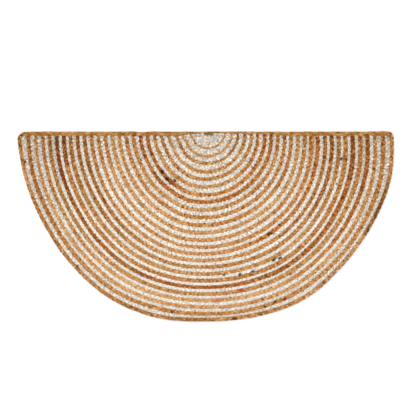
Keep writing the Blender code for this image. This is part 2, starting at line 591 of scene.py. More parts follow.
        return self.half_ring(sides, self.white_height, self.core_overlap, self.core_turn)

    def core_start(self) -> Route:
        """The route of the folded start of the winding, along the straight side.

        Returns:
            The route, from its right end to its left.
        """
        radius = float(self.plan.core_radius(np.array([MIDDLE_ANGLE]))[0]) * self.core_centre_share
        inset_x, inset_y = self.start_insets
        turn = np.linspace(math.pi, 0.0, self.start_steps)
        centre_x = self.plan.centre[0]
        top = float(self.plan.field_top(np.array([centre_x]))[0])
        x = centre_x - (radius - inset_x) * np.cos(turn)
        y = top + self.start_rise - (radius - inset_y) * np.sin(turn)
        flat = np.zeros(len(turn))
        width, height = flat + radius * self.start_width_share, flat + self.white_height
        return Route(np.stack([x, y], axis=1), width, height, flat, flat + self.core_turn)

    def arc_line(self) -> Array:
        """The edge plait's middle line round the arc, from its right end to the left corner.

        Returns:
            Its points, seen from above.
        """
        plan = self.plan
        _, corner_y, arc_angle = plan.left_corner()
        angles = np.linspace(180.0, arc_angle, plan.dense_steps)
        arc = plan.on_ring(plan.middle(EDGE_RING, angles), angles)
        top = plan.side_y - plan.edge_width_at(arc[:, 0]) * (1 - self.tuck_share)
        arc = arc[(arc[:, 1] < top) | (arc[:, 0] < 0)]
        return arc[(arc[:, 1] < corner_y) | (arc[:, 0] > 0)]

    def corner_line(self) -> Array:
        """The edge plait's middle line round the left corner.

        Returns:
            Its points, seen from above.
        """
        corner_x, corner_y, _ = self.plan.left_corner()
        turn = np.radians(np.arange(180.0 - self.corner_step, 90.0, -self.corner_step))
        radius = self.plan.corner_radius - self.plan.edge_width / 2
        return np.stack([corner_x + radius * np.cos(turn), corner_y + radius * np.sin(turn)], axis=1)

    def bend_line(self, start: Array) -> Array:
        """The edge plait's bend at the right end of the straight side.

        Args:
            start: The last point before it.

        Returns:
            Its points, seen from above.
        """
        turn = np.radians(np.arange(90.0 - self.bend_step, -1.0, -self.bend_step))
        middle = start - np.array([0.0, self.end_bend])
        return middle + self.end_bend * np.stack([np.cos(turn), np.sin(turn)], axis=1)

    def edge(self) -> Route:
        """The route of the edge plait, which stands on its side where it is narrow.

        Returns:
            The route, round the arc and the left corner and then along the straight side.
        """
        plan = self.plan
        arc = np.concatenate([self.arc_line(), self.corner_line()])
        start_x = plan.left_corner()[0] + self.side_step
        end_x = EDGE_STATIONS[-1].x - self.end_bend - plan.edge_width / 2
        x = np.arange(start_x, end_x, self.side_step)
        width = plan.edge_width_at(x)
        widest = max(station.width for station in EDGE_STATIONS)
        narrowest = min(station.width for station in EDGE_STATIONS)
        standing = smoothstep((widest - width) / (widest - narrowest))
        width = width + self.side_overlap
        side = np.stack([x, plan.side_y + self.side_shift - width / 2], axis=1)
        bend = self.bend_line(side[-1])
        arc_part, side_part, bend_part = (np.zeros(len(line)) for line in (arc, side, bend))
        widths = np.concatenate([arc_part + plan.edge_width, width, bend_part + width[-1]])
        heights = np.full(len(widths), self.edge_height)
        roll = np.concatenate([arc_part, standing * math.pi / 2, bend_part])
        turn = [arc_part + self.natural_turn, side_part + self.side_turn, bend_part + self.natural_turn]
        route = Route(np.concatenate([arc, side, bend]), widths, heights, roll, np.concatenate(turn))
        fullness = np.sqrt(np.clip(route.to_end() / self.end_taper, 0.0, 1.0))
        route.width = widths * (self.end_share + (1 - self.end_share) * fullness)
        return route


@dataclass(frozen=True)
class Shade:
    """One colour of a finish, at one place on its scale from dark to light."""

    at: float
    colour: Colour

    def linear(self) -> tuple[float, float, float, float]:
        """The colour for a shader, from a colour as seen (0 to 255)."""
        red, green, blue = ((part / 255) ** DISPLAY_GAMMA for part in self.colour)
        return red, green, blue, 1.0


def shades(*colours: Colour) -> tuple[Shade, ...]:
    """Spreads colours evenly over a finish's scale, from dark to light."""
    return tuple(Shade(number / (len(colours) - 1), colour) for number, colour in enumerate(colours))


@dataclass
class NodeKit:
    """Adds linked nodes to a material's tree.

    The colour sockets of a mix node share their names with its other sockets, so they go by number.
    """

    tree: bpy.types.NodeTree
    mix_first: int = 6
    mix_second: int = 7
    mix_result: int = 2

    def add(self, kind: str, **settings: str) -> bpy.types.Node:
        """Adds a node.

        Args:
            kind: The node's type.
            **settings: Its settings, by name.

        Returns:
            The node.
        """
        node = self.tree.nodes.new(kind)
        for name, value in settings.items():
            setattr(node, name, value)
        return node

    def feed(self, socket: Socket, value: Feed) -> None:
        """Links a socket to another node's, or sets it to a number or a colour.

        Args:
            socket: The socket.
            value: What it gets.
        """
        if isinstance(value, bpy.types.NodeSocket):
            self.tree.links.new(value, socket)
        else:
            socket.default_value = value

    def attribute(self, name: str) -> Socket:
        """Reads one of the points' values."""
        return self.add("ShaderNodeAttribute", attribute_name=name).outputs["Fac"]

    def math(self, operation: str, first: Socket, second: Feed) -> Socket:
        """Works out a value from two others.

        Args:
            operation: What is done with them.
            first: The first, another node's.
            second: The second, a number or another node's.

        Returns:
            The result.
        """
        node = self.add("ShaderNodeMath", operation=operation)
        self.feed(node.inputs[0], first)
        self.feed(node.inputs[1], second)
        return node.outputs[0]

    def mix(self, blend: str, factor: Socket, first: Socket, second: Feed) -> Socket:
        """Mixes two colours.

        Args:
            blend: How they are mixed.
            factor: How much of the second goes in.
            first: The first, another node's.
            second: The second, a fixed one or another node's.

        Returns:
            The mixed colour.
        """
        node = self.add("ShaderNodeMix", data_type="RGBA", blend_type=blend)
        self.feed(node.inputs["Factor"], factor)
        self.feed(node.inputs[self.mix_first], first)
        self.feed(node.inputs[self.mix_second], second)
        return node.outputs[self.mix_result]

    def ramp(self, tone: Socket, scale: tuple[Shade, ...]) -> Socket:
        """Turns a tone into a colour.

        Args:
            tone: The tone, from 0 to 1.
            scale: The colours from dark to light.

        Returns:
            The colour.
        """
        node = self.add("ShaderNodeValToRGB")
        elements = node.color_ramp.elements
        while len(elements) < len(scale):
            elements.new(0.5)
        for element, shade in zip(elements, scale):
            element.position = shade.at
            element.color = shade.linear()
        self.feed(node.inputs["Fac"], tone)
        return node.outputs["Color"]


@dataclass(frozen=True)
class JuteFinish:
    """The finish of one kind of jute.

    Attributes:
        jute: The kind.
        cool: The colours of its yellower or greyer lobes, from dark to light.
        warm: The colours of its redder or creamier lobes, from dark to light.
        painted_shade_colour: The colour of the painted shade between the strands, which the colour is
            multiplied by.
        veil: The colour of the fine fibres that stand off it.
        fibre_mix: How far single fibres depart from their strand's tone.
        fibre_warmth: How much redder the darker fibres are.
        fibre_scale: How fine the fibres are.
        fibre_stretch: How much longer than wide they are.
        fibre_detail: How many finer sets of fibres lie between them.
        fibre_roughness: How much the finer sets show.
        fibre_range: The part of the pattern's values that is spread from 0 to 1.
        bump: How far the fibres stand out, in millimetres.
        bump_strength: How strongly that shows.
    """

    jute: Jute
    cool: tuple[Shade, ...]
    warm: tuple[Shade, ...]
    painted_shade_colour: Shade
    veil: Shade
    fibre_mix: float
    fibre_warmth: float = 0.8
    fibre_scale: float = 2.2
    fibre_stretch: float = 7.0
    fibre_detail: float = 3.0
    fibre_roughness: float = 0.65
    fibre_range: tuple[float, float] = (0.3, 0.7)
    bump: float = 0.35
    bump_strength: float = 0.8
    roughness: float = 0.85
    specular: float = 0.12
    sheen: float = 0.12
    sheen_roughness: float = 0.6

    def material(self) -> bpy.types.Material:
        """Makes the finish's material.

        Returns:
            The material.
        """
        material = bpy.data.materials.new(self.jute.value)
        material.use_nodes = True
        shader = material.node_tree.nodes["Principled BSDF"]
        kit = NodeKit(material.node_tree)
        fibre = self._fibres(kit)
        kit.feed(shader.inputs["Base Color"], self._colour(kit, fibre))
        bump = kit.add("ShaderNodeBump")
        bump.inputs["Distance"].default_value = self.bump * MM
        bump.inputs["Strength"].default_value = self.bump_strength
        kit.feed(bump.inputs["Height"], fibre)
        kit.feed(shader.inputs["Normal"], bump.outputs["Normal"])
        shader.inputs["Roughness"].default_value = self.roughness
        shader.inputs["Specular IOR Level"].default_value = self.specular
        shader.inputs["Sheen Tint"].default_value = self.veil.linear()
        shader.inputs["Sheen Weight"].default_value = self.sheen
        shader.inputs["Sheen Roughness"].default_value = self.sheen_roughness
        return material

    def _colour(self, kit: NodeKit, fibre: Socket) -> Socket:
        """Works out the colour from the points' tone, warmth, painted shade and stain.

        Args:
            kit: Adds the nodes.
            fibre: The pattern of the fibres.

        Returns:
            The colour.
        """
        off = kit.math("MULTIPLY", kit.math("SUBTRACT", fibre, 0.5), self.fibre_mix)
        tone = kit.math("ADD", kit.attribute("tone"), off)
        warm_off = kit.math("MULTIPLY", off, self.fibre_warmth)
        warmth = kit.math("SUBTRACT", kit.attribute("warmth"), warm_off)
        colour = kit.mix("MIX", warmth, kit.ramp(tone, self.cool), kit.ramp(tone, self.warm))
        # Painted shade: darkens the colour low in the plaits and under covering strands.
        colour = kit.mix("MULTIPLY", kit.attribute("depth"), colour, self.painted_shade_colour.linear())
        stain = kit.add("ShaderNodeAttribute", attribute_name="stain")
        return kit.mix("MIX", stain.outputs["Alpha"], colour, stain.outputs["Color"])

    def _fibres(self, kit: NodeKit) -> Socket:
        """Makes a pattern of fibres that run along the strand.

        Args:
            kit: Adds the nodes.

        Returns:
            The pattern, from 0 to 1.
        """
        place = kit.add("ShaderNodeUVMap", uv_map=STRAND_MAP)
        mapping = kit.add("ShaderNodeMapping")
        mapping.inputs["Scale"].default_value = (1.0, self.fibre_stretch, 1.0)
        kit.feed(mapping.inputs["Vector"], place.outputs["UV"])
        noise = kit.add("ShaderNodeTexNoise")
        noise.inputs["Scale"].default_value = self.fibre_scale
        noise.inputs["Detail"].default_value = self.fibre_detail
        noise.inputs["Roughness"].default_value = self.fibre_roughness
        kit.feed(noise.inputs["Vector"], mapping.outputs["Vector"])
        spread = kit.add("ShaderNodeMapRange")
        low, high = self.fibre_range
        spread.inputs["From Min"].default_value = low
        spread.inputs["From Max"].default_value = high
        kit.feed(spread.inputs["Value"], noise.outputs["Fac"])
        return spread.outputs["Result"]


NATURAL_FINISH = JuteFinish(
    Jute.NATURAL,
    cool=shades(
        (104, 64, 26), (148, 100, 49), (178, 133, 78), (202, 159, 107), (222, 184, 138), (240, 211, 173)
    ),
    warm=shades(
        (102, 48, 12), (154, 84, 30), (188, 113, 54), (213, 142, 81), (229, 166, 107), (243, 196, 148)
    ),
    # The colour of the painted shade between and under the strands.
    painted_shade_colour=Shade(1.0, (190, 148, 106)),
    veil=Shade(1.0, (214, 160, 104)),
    fibre_mix=0.45,
)
WHITE_FINISH = JuteFinish(
    Jute.WHITE,
    cool=shades((160, 154, 144), (196, 192, 185), (224, 222, 218), (242, 242, 241), (253, 253, 252)),
    warm=shades((172, 140, 104), (208, 184, 150), (234, 219, 196), (249, 241, 227), (254, 251, 246)),
    # The colour of the painted shade between and under the strands.
    painted_shade_colour=Shade(1.0, (212, 180, 138)),
    veil=Shade(1.0, (250, 244, 232)),
    fibre_mix=0.35,
)
EDGE_FINISH = JuteFinish(
    Jute.EDGE,
    cool=shades(
        (90, 60, 20), (134, 94, 44), (166, 120, 66), (190, 146, 92), (210, 170, 120), (230, 198, 152)
    ),
    warm=shades(
        (88, 48, 14), (138, 82, 34), (174, 108, 56), (200, 136, 82), (216, 160, 108), (234, 190, 146)
    ),
    # The colour of the painted shade between and under the strands.
    painted_shade_colour=Shade(1.0, (186, 146, 104)),
    veil=Shade(1.0, (204, 156, 100)),
    fibre_mix=0.35,
)


@dataclass
class Wardrobe:
    """The materials, made once."""

    finishes: tuple[JuteFinish, ...] = (NATURAL_FINISH, WHITE_FINISH, EDGE_FINISH)
    made: dict[Jute, bpy.types.Material] = field(default_factory=dict)

    def material(self, jute: Jute) -> bpy.types.Material:
        """Gives the material of one kind of jute.

        Args:
            jute: The kind.

        Returns:
            Its material.
        """
        if jute not in self.made:
            finish = next(finish for finish in self.finishes if finish.jute is jute)
            self.made[jute] = finish.material()
        return self.made[jute]


def wander(along: Array, spacing: float, rng: np.random.Generator, lively: bool = False) -> Array:
    """A smooth random line about 0, with a new value every so many millimetres.

    Args:
        along: The places to read it at, in millimetres.
        spacing: The distance between its knots.
        rng: The source of the random values.
        lively: Whether each value tends to the other side of 0 from the one before it.

    Returns:
        Its values, with a spread of about 1.
    """
    knots = rng.normal(0.0, 1.0, int(along[-1] / spacing) + SPARE_KNOTS)
    if lively:
        # The weights 2, -1 and -1 alone would give a spread of the root of 6.
        knots = (2 * knots[1:-1] - knots[2:] - knots[:-2]) / math.sqrt(6)
    at = along / spacing
    index = at.astype(int)
    part = smoothstep(at - index)
    return knots[index] * (1 - part) + knots[index + 1] * part


def beside_and_above(lines: Array) -> tuple[Array, Array]:
    """Works out which way is sideways and which way is up along lines.

    Args:
        lines: Points in space, each line's along the last axis but one.

    Returns:
        Unit vectors to the side and unit vectors up, at each point, both square to the line.
    """
    ahead = np.gradient(lines, axis=-2)
    ahead /= np.linalg.norm(ahead, axis=-1, keepdims=True)
    up = np.array([0.0, 0.0, 1.0]) - ahead * ahead[..., 2:3]
    up /= np.linalg.norm(up, axis=-1, keepdims=True)
    return np.cross(ahead, up), up


def tube_faces(number: NDArray[np.int64]) -> list[tuple[int, ...]]:
    """Closes tubes of points with faces that point outwards.

    Args:
        number: The points' numbers, by tube, by ring along it and by place round it.

    Returns:
        The faces: all the walls, then the caps at the starts, then those at the ends.
    """
    after = np.roll(number, -1, axis=2)
    walls = np.stack([number[:, :-1], number[:, 1:], after[:, 1:], after[:, :-1]], axis=-1)
    caps = [*number[:, 0].tolist(), *number[:, -1, ::-1].tolist()]
    return [tuple(face) for face in [*walls.reshape(-1, 4).tolist(), *caps]]


def boxes(left: Array, bottom: Array, right: Array, top: Array) -> Array:
    """Lays boxes on a map.

    Args:
        left: Their left sides.
        bottom: Their lower sides.
        right: Their right sides.
        top: Their upper sides.

    Returns:
        Their corners, each box's four in turn from the lower left.
    """
    corners = ((left, bottom), (right, bottom), (right, top), (left, top))
    return np.stack([np.stack(corner, axis=-1) for corner in corners], axis=-2).reshape(-1, 2)


@dataclass
class MeshParts:
    """Arrays that make up a mesh, piece by piece.

    Attributes:
        points: The points of each piece, in millimetres.
        faces: The faces of all of them, as numbers of points.
        strand_places: The places of the faces' corners on the map of the strands' fibres.
        bake_places: Their places on the map for baking.
        looks: The points' tone, warmth and painted shade.
        count: How many points there are so far.
    """

    points: list[Array] = field(default_factory=list)
    faces: list[tuple[int, ...]] = field(default_factory=list)
    strand_places: list[Array] = field(default_factory=list)
    bake_places: list[Array] = field(default_factory=list)
    looks: dict[str, list[Array]] = field(default_factory=dict)
    count: int = 0

    def add(self, points: Array, **looks: Array) -> int:
        """Adds a piece's points.

        Args:
            points: The points, in millimetres.
            **looks: Their tone, warmth and painted shade.

        Returns:
            The number of the first.
        """
        first = self.count
        self.points.append(points)
        for name, values in looks.items():
            self.looks.setdefault(name, []).append(values)
        self.count += len(points)
        return first

    def make(self, name: str, materials: list[bpy.types.Material], dye_and_shade: "DyeAndShade") -> bpy.types.Object:
        """Makes the object, with its maps and its points' tone, warmth, painted shade and stain.

        Args:
            name: The object's name.
            materials: Its materials.
            dye_and_shade: Gives the stains.

        Returns:
            The object, at the origin.
        """
        mesh = bpy.data.meshes.new(name)
        points = np.concatenate(self.points)
        mesh.from_pydata((points * MM).tolist(), [], self.faces)
        for material in materials:
            mesh.materials.append(material)
        for map_name, places in ((STRAND_MAP, self.strand_places), (BAKE_MAP, self.bake_places)):
            if places:
                layer = mesh.uv_layers.new(name=map_name)
                layer.uv.foreach_set("vector", np.concatenate(places).astype(np.float32).ravel())
        for look, values in self.looks.items():
            attribute = mesh.attributes.new(look, "FLOAT", "POINT")
            attribute.data.foreach_set("value", np.concatenate(values).astype(np.float32))
        stain = mesh.attributes.new("stain", "FLOAT_COLOR", "POINT")
        stain.data.foreach_set("color", dye_and_shade.stain(points).astype(np.float32).ravel())
        mesh.shade_smooth()
        piece = bpy.data.objects.new(name, mesh)
        bpy.context.scene.collection.objects.link(piece)
        return piece


class RingLook(NamedTuple):
    """What is added to a natural ring's tone and warmth, and to the tone of the white one outside."""

    natural_tone: float
    natural_warmth: float
    white_tone: float


RING_LOOKS = {
    1: RingLook(0.00, -0.50, -0.15),
    2: RingLook(0.04, -0.60, -0.14),
    3: RingLook(-0.10, -0.10, -0.11),
    4: RingLook(0.00, -0.20, -0.07),
    5: RingLook(-0.05, -0.05, -0.09),
    6: RingLook(-0.03, -0.20, -0.05),
    7: RingLook(-0.04, 0.25, -0.07),
    8: RingLook(-0.17, 0.40, -0.10),
    9: RingLook(-0.03, -0.14, -0.04),
    10: RingLook(-0.05, 0.00, 0.00),
    11: RingLook(0.03, 0.00, -0.04),
    12: RingLook(0.08, -0.35, 0.00),
    13: RingLook(0.01, -0.10, 0.00),
    15: RingLook(-0.01, 0.10, 0.00),
    16: RingLook(-0.03, -0.15, 0.10),
    17: RingLook(-0.01, -0.12, 0.02),
    18: RingLook(-0.05, -0.25, 0.09),
    19: RingLook(-0.04, 0.05, 0.11),
    20: RingLook(-0.18, 0.30, 0.05),
    21: RingLook(0.01, -0.20, 0.06),
    22: RingLook(0.00, -0.05, 0.06),
    23: RingLook(0.07, -0.05, -0.03),
    24: RingLook(-0.03, 0.05, -0.03),
}


class Stretch(NamedTuple):
    """A stretch of a ring, and what is added to its tone and warmth.

    The ring is a natural one's number, or a white one's and a half. The angles are in degrees.
    """

    ring: float
    start: float
    end: float
    tone: float
    warmth: float


STRETCHES = (
    Stretch(3, 0, 40, -0.06, -0.1),
    Stretch(3, 125, 180, -0.06, 0.0),
    Stretch(4, 20, 80, 0.06, -0.2),
    Stretch(4, 155, 180, -0.10, -0.2),
    Stretch(5, 0, 35, -0.14, 0.0),
    Stretch(6, 0, 10, -0.14, -0.3),
    Stretch(6, 30, 90, 0.06, -0.2),
    Stretch(6, 140, 180, -0.08, 0.3),
    Stretch(7, 0, 62, -0.16, 0.3),
    Stretch(7, 140, 172, -0.08, 0.3),
    Stretch(9, 60, 95, 0.08, -0.1),
    Stretch(9, 158, 180, -0.06, 0.3),
    Stretch(10, 172, 180, -0.16, 0.0),
    Stretch(11, 0, 78, 0.10, -0.1),
    Stretch(11, 140, 170, -0.07, 0.2),
    Stretch(13, 22, 115, 0.07, 0.0),
    Stretch(15, 40, 105, 0.08, 0.0),
    Stretch(15, 112, 180, -0.09, 0.25),
    Stretch(16, 0, 60, -0.08, 0.1),
    Stretch(16, 62, 120, 0.10, 0.0),
    Stretch(16, 130, 180, -0.06, -0.1),
    Stretch(17, 0, 50, -0.12, 0.0),
    Stretch(17, 140, 180, -0.14, 0.3),
    Stretch(18, 0, 30, -0.06, 0.0),
    Stretch(18, 45, 140, 0.08, -0.1),
    Stretch(19, 0, 14, -0.22, 0.2),
    Stretch(20, 0, 28, -0.12, -0.1),
    Stretch(21, 0, 40, -0.08, -0.2),
    Stretch(22, 45, 118, 0.18, -0.2),
    Stretch(22, 138, 180, -0.16, 0.3),
    Stretch(23, 20, 140, 0.06, 0.0),
    Stretch(24, 0, 35, -0.08, 0.0),
    Stretch(1.5, 0, 32, -0.15, 0.0),
    Stretch(3.5, 15, 32, -0.20, 0.0),
    Stretch(6.5, 48, 62, -0.06, 0.3),
    Stretch(7.5, 0, 180, 0.0, 0.25),
    Stretch(9.5, 28, 58, -0.12, 0.3),
    Stretch(14.5, 150, 180, -0.10, 0.5),
    Stretch(20.5, 0, 20, -0.16, 0.0),
    Stretch(21.5, 162, 180, -0.12, 0.3),
    Stretch(22.5, 0, 45, -0.12, -0.2),
)


class Fleck(NamedTuple):
    """A dark bit of bark, or a dyed bit, in the jute: its place and its size along and across the ring.

    A larger one has less strength, so that the yarn's own colour shows through it.
    """

    x: float
    y: float
    half_length: float
    half_width: float
    colour: Colour
    strength: float = 1.0


BARK = (38, 26, 16)
BROWN = (88, 48, 16)
RUST = (126, 58, 14)
RED = (194, 74, 42)
ORANGE = (206, 122, 70)
TAN = (200, 148, 96)
OLIVE = (124, 100, 56)
BRONZE = (140, 100, 54)
FLECKS = (
    Fleck(-103.9, 132.0, 5.5, 4.0, BARK),
    Fleck(-93.0, 113.8, 6.5, 3.6, BARK),
    Fleck(-84.0, 104.0, 6.0, 4.0, RUST, 0.8),
    Fleck(-73.5, 110.6, 5.0, 3.4, BARK),
    Fleck(44.1, -115.5, 3.2, 3.0, BARK),
    Fleck(81.8, -114.5, 4.0, 3.4, BARK),
    Fleck(113.4, -106.8, 4.0, 3.4, BARK),
    Fleck(162.4, -80.2, 5.0, 3.4, BARK),
    Fleck(178.5, -75.4, 5.0, 3.6, BARK),
    Fleck(152.1, -16.6, 7.0, 2.8, BROWN),
    Fleck(136.2, -174.5, 3.4, 2.4, BROWN),
    Fleck(166.5, -180.3, 4.0, 2.6, BARK),
    Fleck(141.8, -191.6, 4.0, 2.8, BARK),
    Fleck(189.0, -173.2, 5.0, 3.8, RUST),
    Fleck(69.0, -220.9, 7.0, 3.6, BROWN),
    Fleck(-81.1, -204.6, 3.6, 3.0, BARK),
    Fleck(389.7, -9.4, 6.0, 3.4, BROWN),
    Fleck(406.9, 22.6, 5.0, 3.0, RUST),
    Fleck(421.3, 53.8, 5.0, 3.0, RUST),
    Fleck(373.3, 94.6, 4.0, 3.0, BROWN),
    Fleck(327.9, 69.8, 4.5, 2.8, BROWN),
    Fleck(325.5, 162.2, 3.4, 3.2, BARK),
    Fleck(314.1, 102.2, 2.6, 2.4, BROWN),
    Fleck(261.9, 146.6, 4.5, 2.8, BROWN),
    Fleck(140.7, 191.0, 5.0, 3.0, RUST),
    Fleck(113.7, 140.6, 3.4, 2.8, BROWN),
    Fleck(402.9, 138.2, 3.4, 2.8, BROWN),
    Fleck(-128.7, 174.2, 4.0, 2.8, BROWN),
    Fleck(-155.0, 159.8, 3.0, 2.4, BROWN),
    Fleck(-243.9, 65.0, 5.0, 3.0, BROWN),
    Fleck(-432.3, 155.0, 5.0, 3.6, RUST),
    Fleck(-345.9, 131.6, 9.0, 3.4, RUST, 0.6),
    Fleck(-340.0, 114.0, 8.0, 3.4, RUST, 0.6),
    Fleck(352.5, 210.0, 8.0, 3.2, RUST, 0.7),
    Fleck(-306.3, -94.6, 3.2, 3.0, BROWN),
    Fleck(-154.0, 53.0, 8.0, 4.0, OLIVE, 0.6),
    Fleck(84.9, -152.2, 6.5, 3.8, RED),
    Fleck(28.5, -177.4, 11.0, 4.5, ORANGE, 0.7),
    Fleck(204.0, -109.0, 10.0, 8.0, TAN, 0.8),
    Fleck(203.0, -113.0, 4.0, 3.4, RUST),
    Fleck(-191.1, 99.8, 8.0, 5.0, TAN, 0.7),
    Fleck(5.0, 222.0, 8.0, 4.0, OLIVE),
    Fleck(14.0, 221.5, 4.0, 4.0, OLIVE),
    Fleck(440.0, 217.0, 6.0, 5.0, BRONZE, 0.8),
)


@dataclass(frozen=True)
class DyeAndShade:
    """Colour changes that are seen from afar: the jute's whole stretches of rings and flecks, and
    painted shade beside the straight side and under the edge plait.

    Attributes:
        fade: The angle over which a stretch comes and goes, in degrees.
        near_side_shade: How much darker the rings are beside the straight side, as painted shade.
        near_reach: How far from it that reaches.
        tucked_shadow: How much darker they are where they go under the edge plait, as a painted shadow.
        tucked_reach: How far from the straight side that reaches.
        natural_dulling: How much darker a natural ring's ends are.
        white_dulling: The same for a white ring.
        dulled_angle: The angle over which they darken, in degrees.
        dulled_radius: The radius of a ring that darkens by as much as that.
        most_dulling: The limit of that for wider rings, as a factor.
        side_yellowing: How much yellower the rings are beside the straight side.
        side_band: How near to the straight side the edge plait counts as running along it.
        side_tone: What is added to its tone there.
        edge_share: How much of a ring's darkening it has elsewhere.
        fleck_blur: How far a fleck's rim is blurred.
    """

    plan: RingPlan
    fade: float = 3.0
    near_side_shade: float = 0.12
    near_reach: float = 25.0
    tucked_shadow: float = 0.11
    tucked_reach: float = 14.0
    natural_dulling: float = 0.12
    white_dulling: float = 0.2
    dulled_angle: float = 45.0
    dulled_radius: float = 300.0
    most_dulling: float = 1.1
    side_yellowing: float = 0.35
    side_band: float = 12.0
    side_tone: float = -0.02
    edge_share: float = 0.4
    fleck_blur: float = 1.6

    def mood(self, ring: float, jute: Jute, points: Array) -> tuple[Array, Array]:
        """The tone and warmth to add along a ring, which has painted shade towards the straight side.

        Args:
            ring: The ring's number.
            jute: Its kind of jute.
            points: Points of its middle line.

        Returns:
            The tone and the warmth at each point.
        """
        centre_x, centre_y = self.plan.centre
        angles = np.degrees(np.arctan2(centre_y - points[:, 1], centre_x - points[:, 0]))
        away = np.maximum(self.plan.side_y - points[:, 1], 0.0)
        near = np.exp(-away / self.near_reach)
        dulling = self.white_dulling if jute is Jute.WHITE else self.natural_dulling
        to_end = np.minimum(angles, 180.0 - angles)
        # Darker towards the ring's ends, and painted shade beside the straight side.
        tone = -dulling * (1 - smoothstep(to_end / self.dulled_angle)) - self.near_side_shade * near
        radii = np.hypot(centre_x - points[:, 0], centre_y - points[:, 1])
        tone = tone * np.minimum(radii / self.dulled_radius, self.most_dulling)
        # Painted shadow where the ring goes under the edge plait.
        tone -= self.tucked_shadow * smoothstep(2 - 2 * away / self.tucked_reach)
        warmth = -self.side_yellowing * near
        if jute is Jute.EDGE:
            tone = np.where(away < self.side_band, self.side_tone, self.edge_share * tone)
        look = RING_LOOKS.get(int(ring))
        if look and ring == int(ring):
            tone += look.natural_tone
            warmth += look.natural_warmth
        elif look:
            tone += look.white_tone
        for stretch in STRETCHES:
            if stretch.ring == ring:
                inside = within(angles, stretch.start, stretch.end, self.fade)
                tone += stretch.tone * inside
                warmth += stretch.warmth * inside
        return tone, warmth

    def stain(self, points: Array) -> Array:
        """Works out what the flecks do to points.

        Args:
            points: The points, in millimetres.

        Returns:
            The fleck's colour and strength at each, as red, green, blue and alpha.
        """
        stain = np.zeros((len(points), 4))
        centre = np.array(self.plan.centre)
        for fleck in FLECKS:
            place = np.array([fleck.x, fleck.y])
            out = (place - centre) / np.linalg.norm(place - centre)
            away = points[:, :2] - place
            across, along = away @ out, away @ np.array([-out[1], out[0]])
            share = np.hypot(across / fleck.half_width, along / fleck.half_length)
            strength = 1 - smoothstep((share - 1) * fleck.half_width / self.fleck_blur + 0.5)
            strength *= fleck.strength
            hit = strength > stain[:, 3]
            stain[hit, :3] = Shade(0.0, fleck.colour).linear()[:3]
            stain[hit, 3] = strength[hit]
        return stain


class StrandLook(NamedTuple):
    """How much lighter and redder one strand of a plait is than the others."""

    tone: float
    warmth: float


@dataclass(frozen=True)
class Tone:
    """How a plait's colour varies, on its finish's scale from 0 to 1.

    Attributes:
        middle: The tone that it varies about.
        row: How much rows differ from each other.
        slow: How much it changes over long stretches.
        strand: How much the three strands differ.
        lobe: How much one lobe differs from the next.
        fine: How much it changes within a lobe.
        grain: How much it changes from one point to the next.
        warmth: How warm the colour is on the whole.
        slow_warmth: How much the warmth changes over long stretches.
        warmth_spread: How much the warmth changes from one lobe to the next.
        strands: What each strand adds.
        slow_spacings: The lengths of the two kinds of long stretches, in millimetres.
        slow_warmth_spacing: The length of those of the warmth.
        lobe_spacing: The length of a lobe.
        fine_spacing: The length of the changes within it.
    """

    middle: float = 0.5
    row: float = 0.01
    slow: float = 0.025
    strand: float = 0.02
    lobe: float = 0.11
    fine: float = 0.16
    grain: float = 0.1
    warmth: float = 0.5
    slow_warmth: float = 0.06
    warmth_spread: float = 0.3
    strands: tuple[StrandLook, ...] = (StrandLook(0.0, 0.0),) * STRANDS
    slow_spacings: tuple[float, float] = (130.0, 45.0)
    slow_warmth_spacing: float = 60.0
    lobe_spacing: float = 6.4
    fine_spacing: float = 3.0


class StrandLine(NamedTuple):
    """Where a strand lies in its plait, and its size, at each point of the plait's route."""

    across: Array
    level: Array
    half_width: Array
    half_height: Array


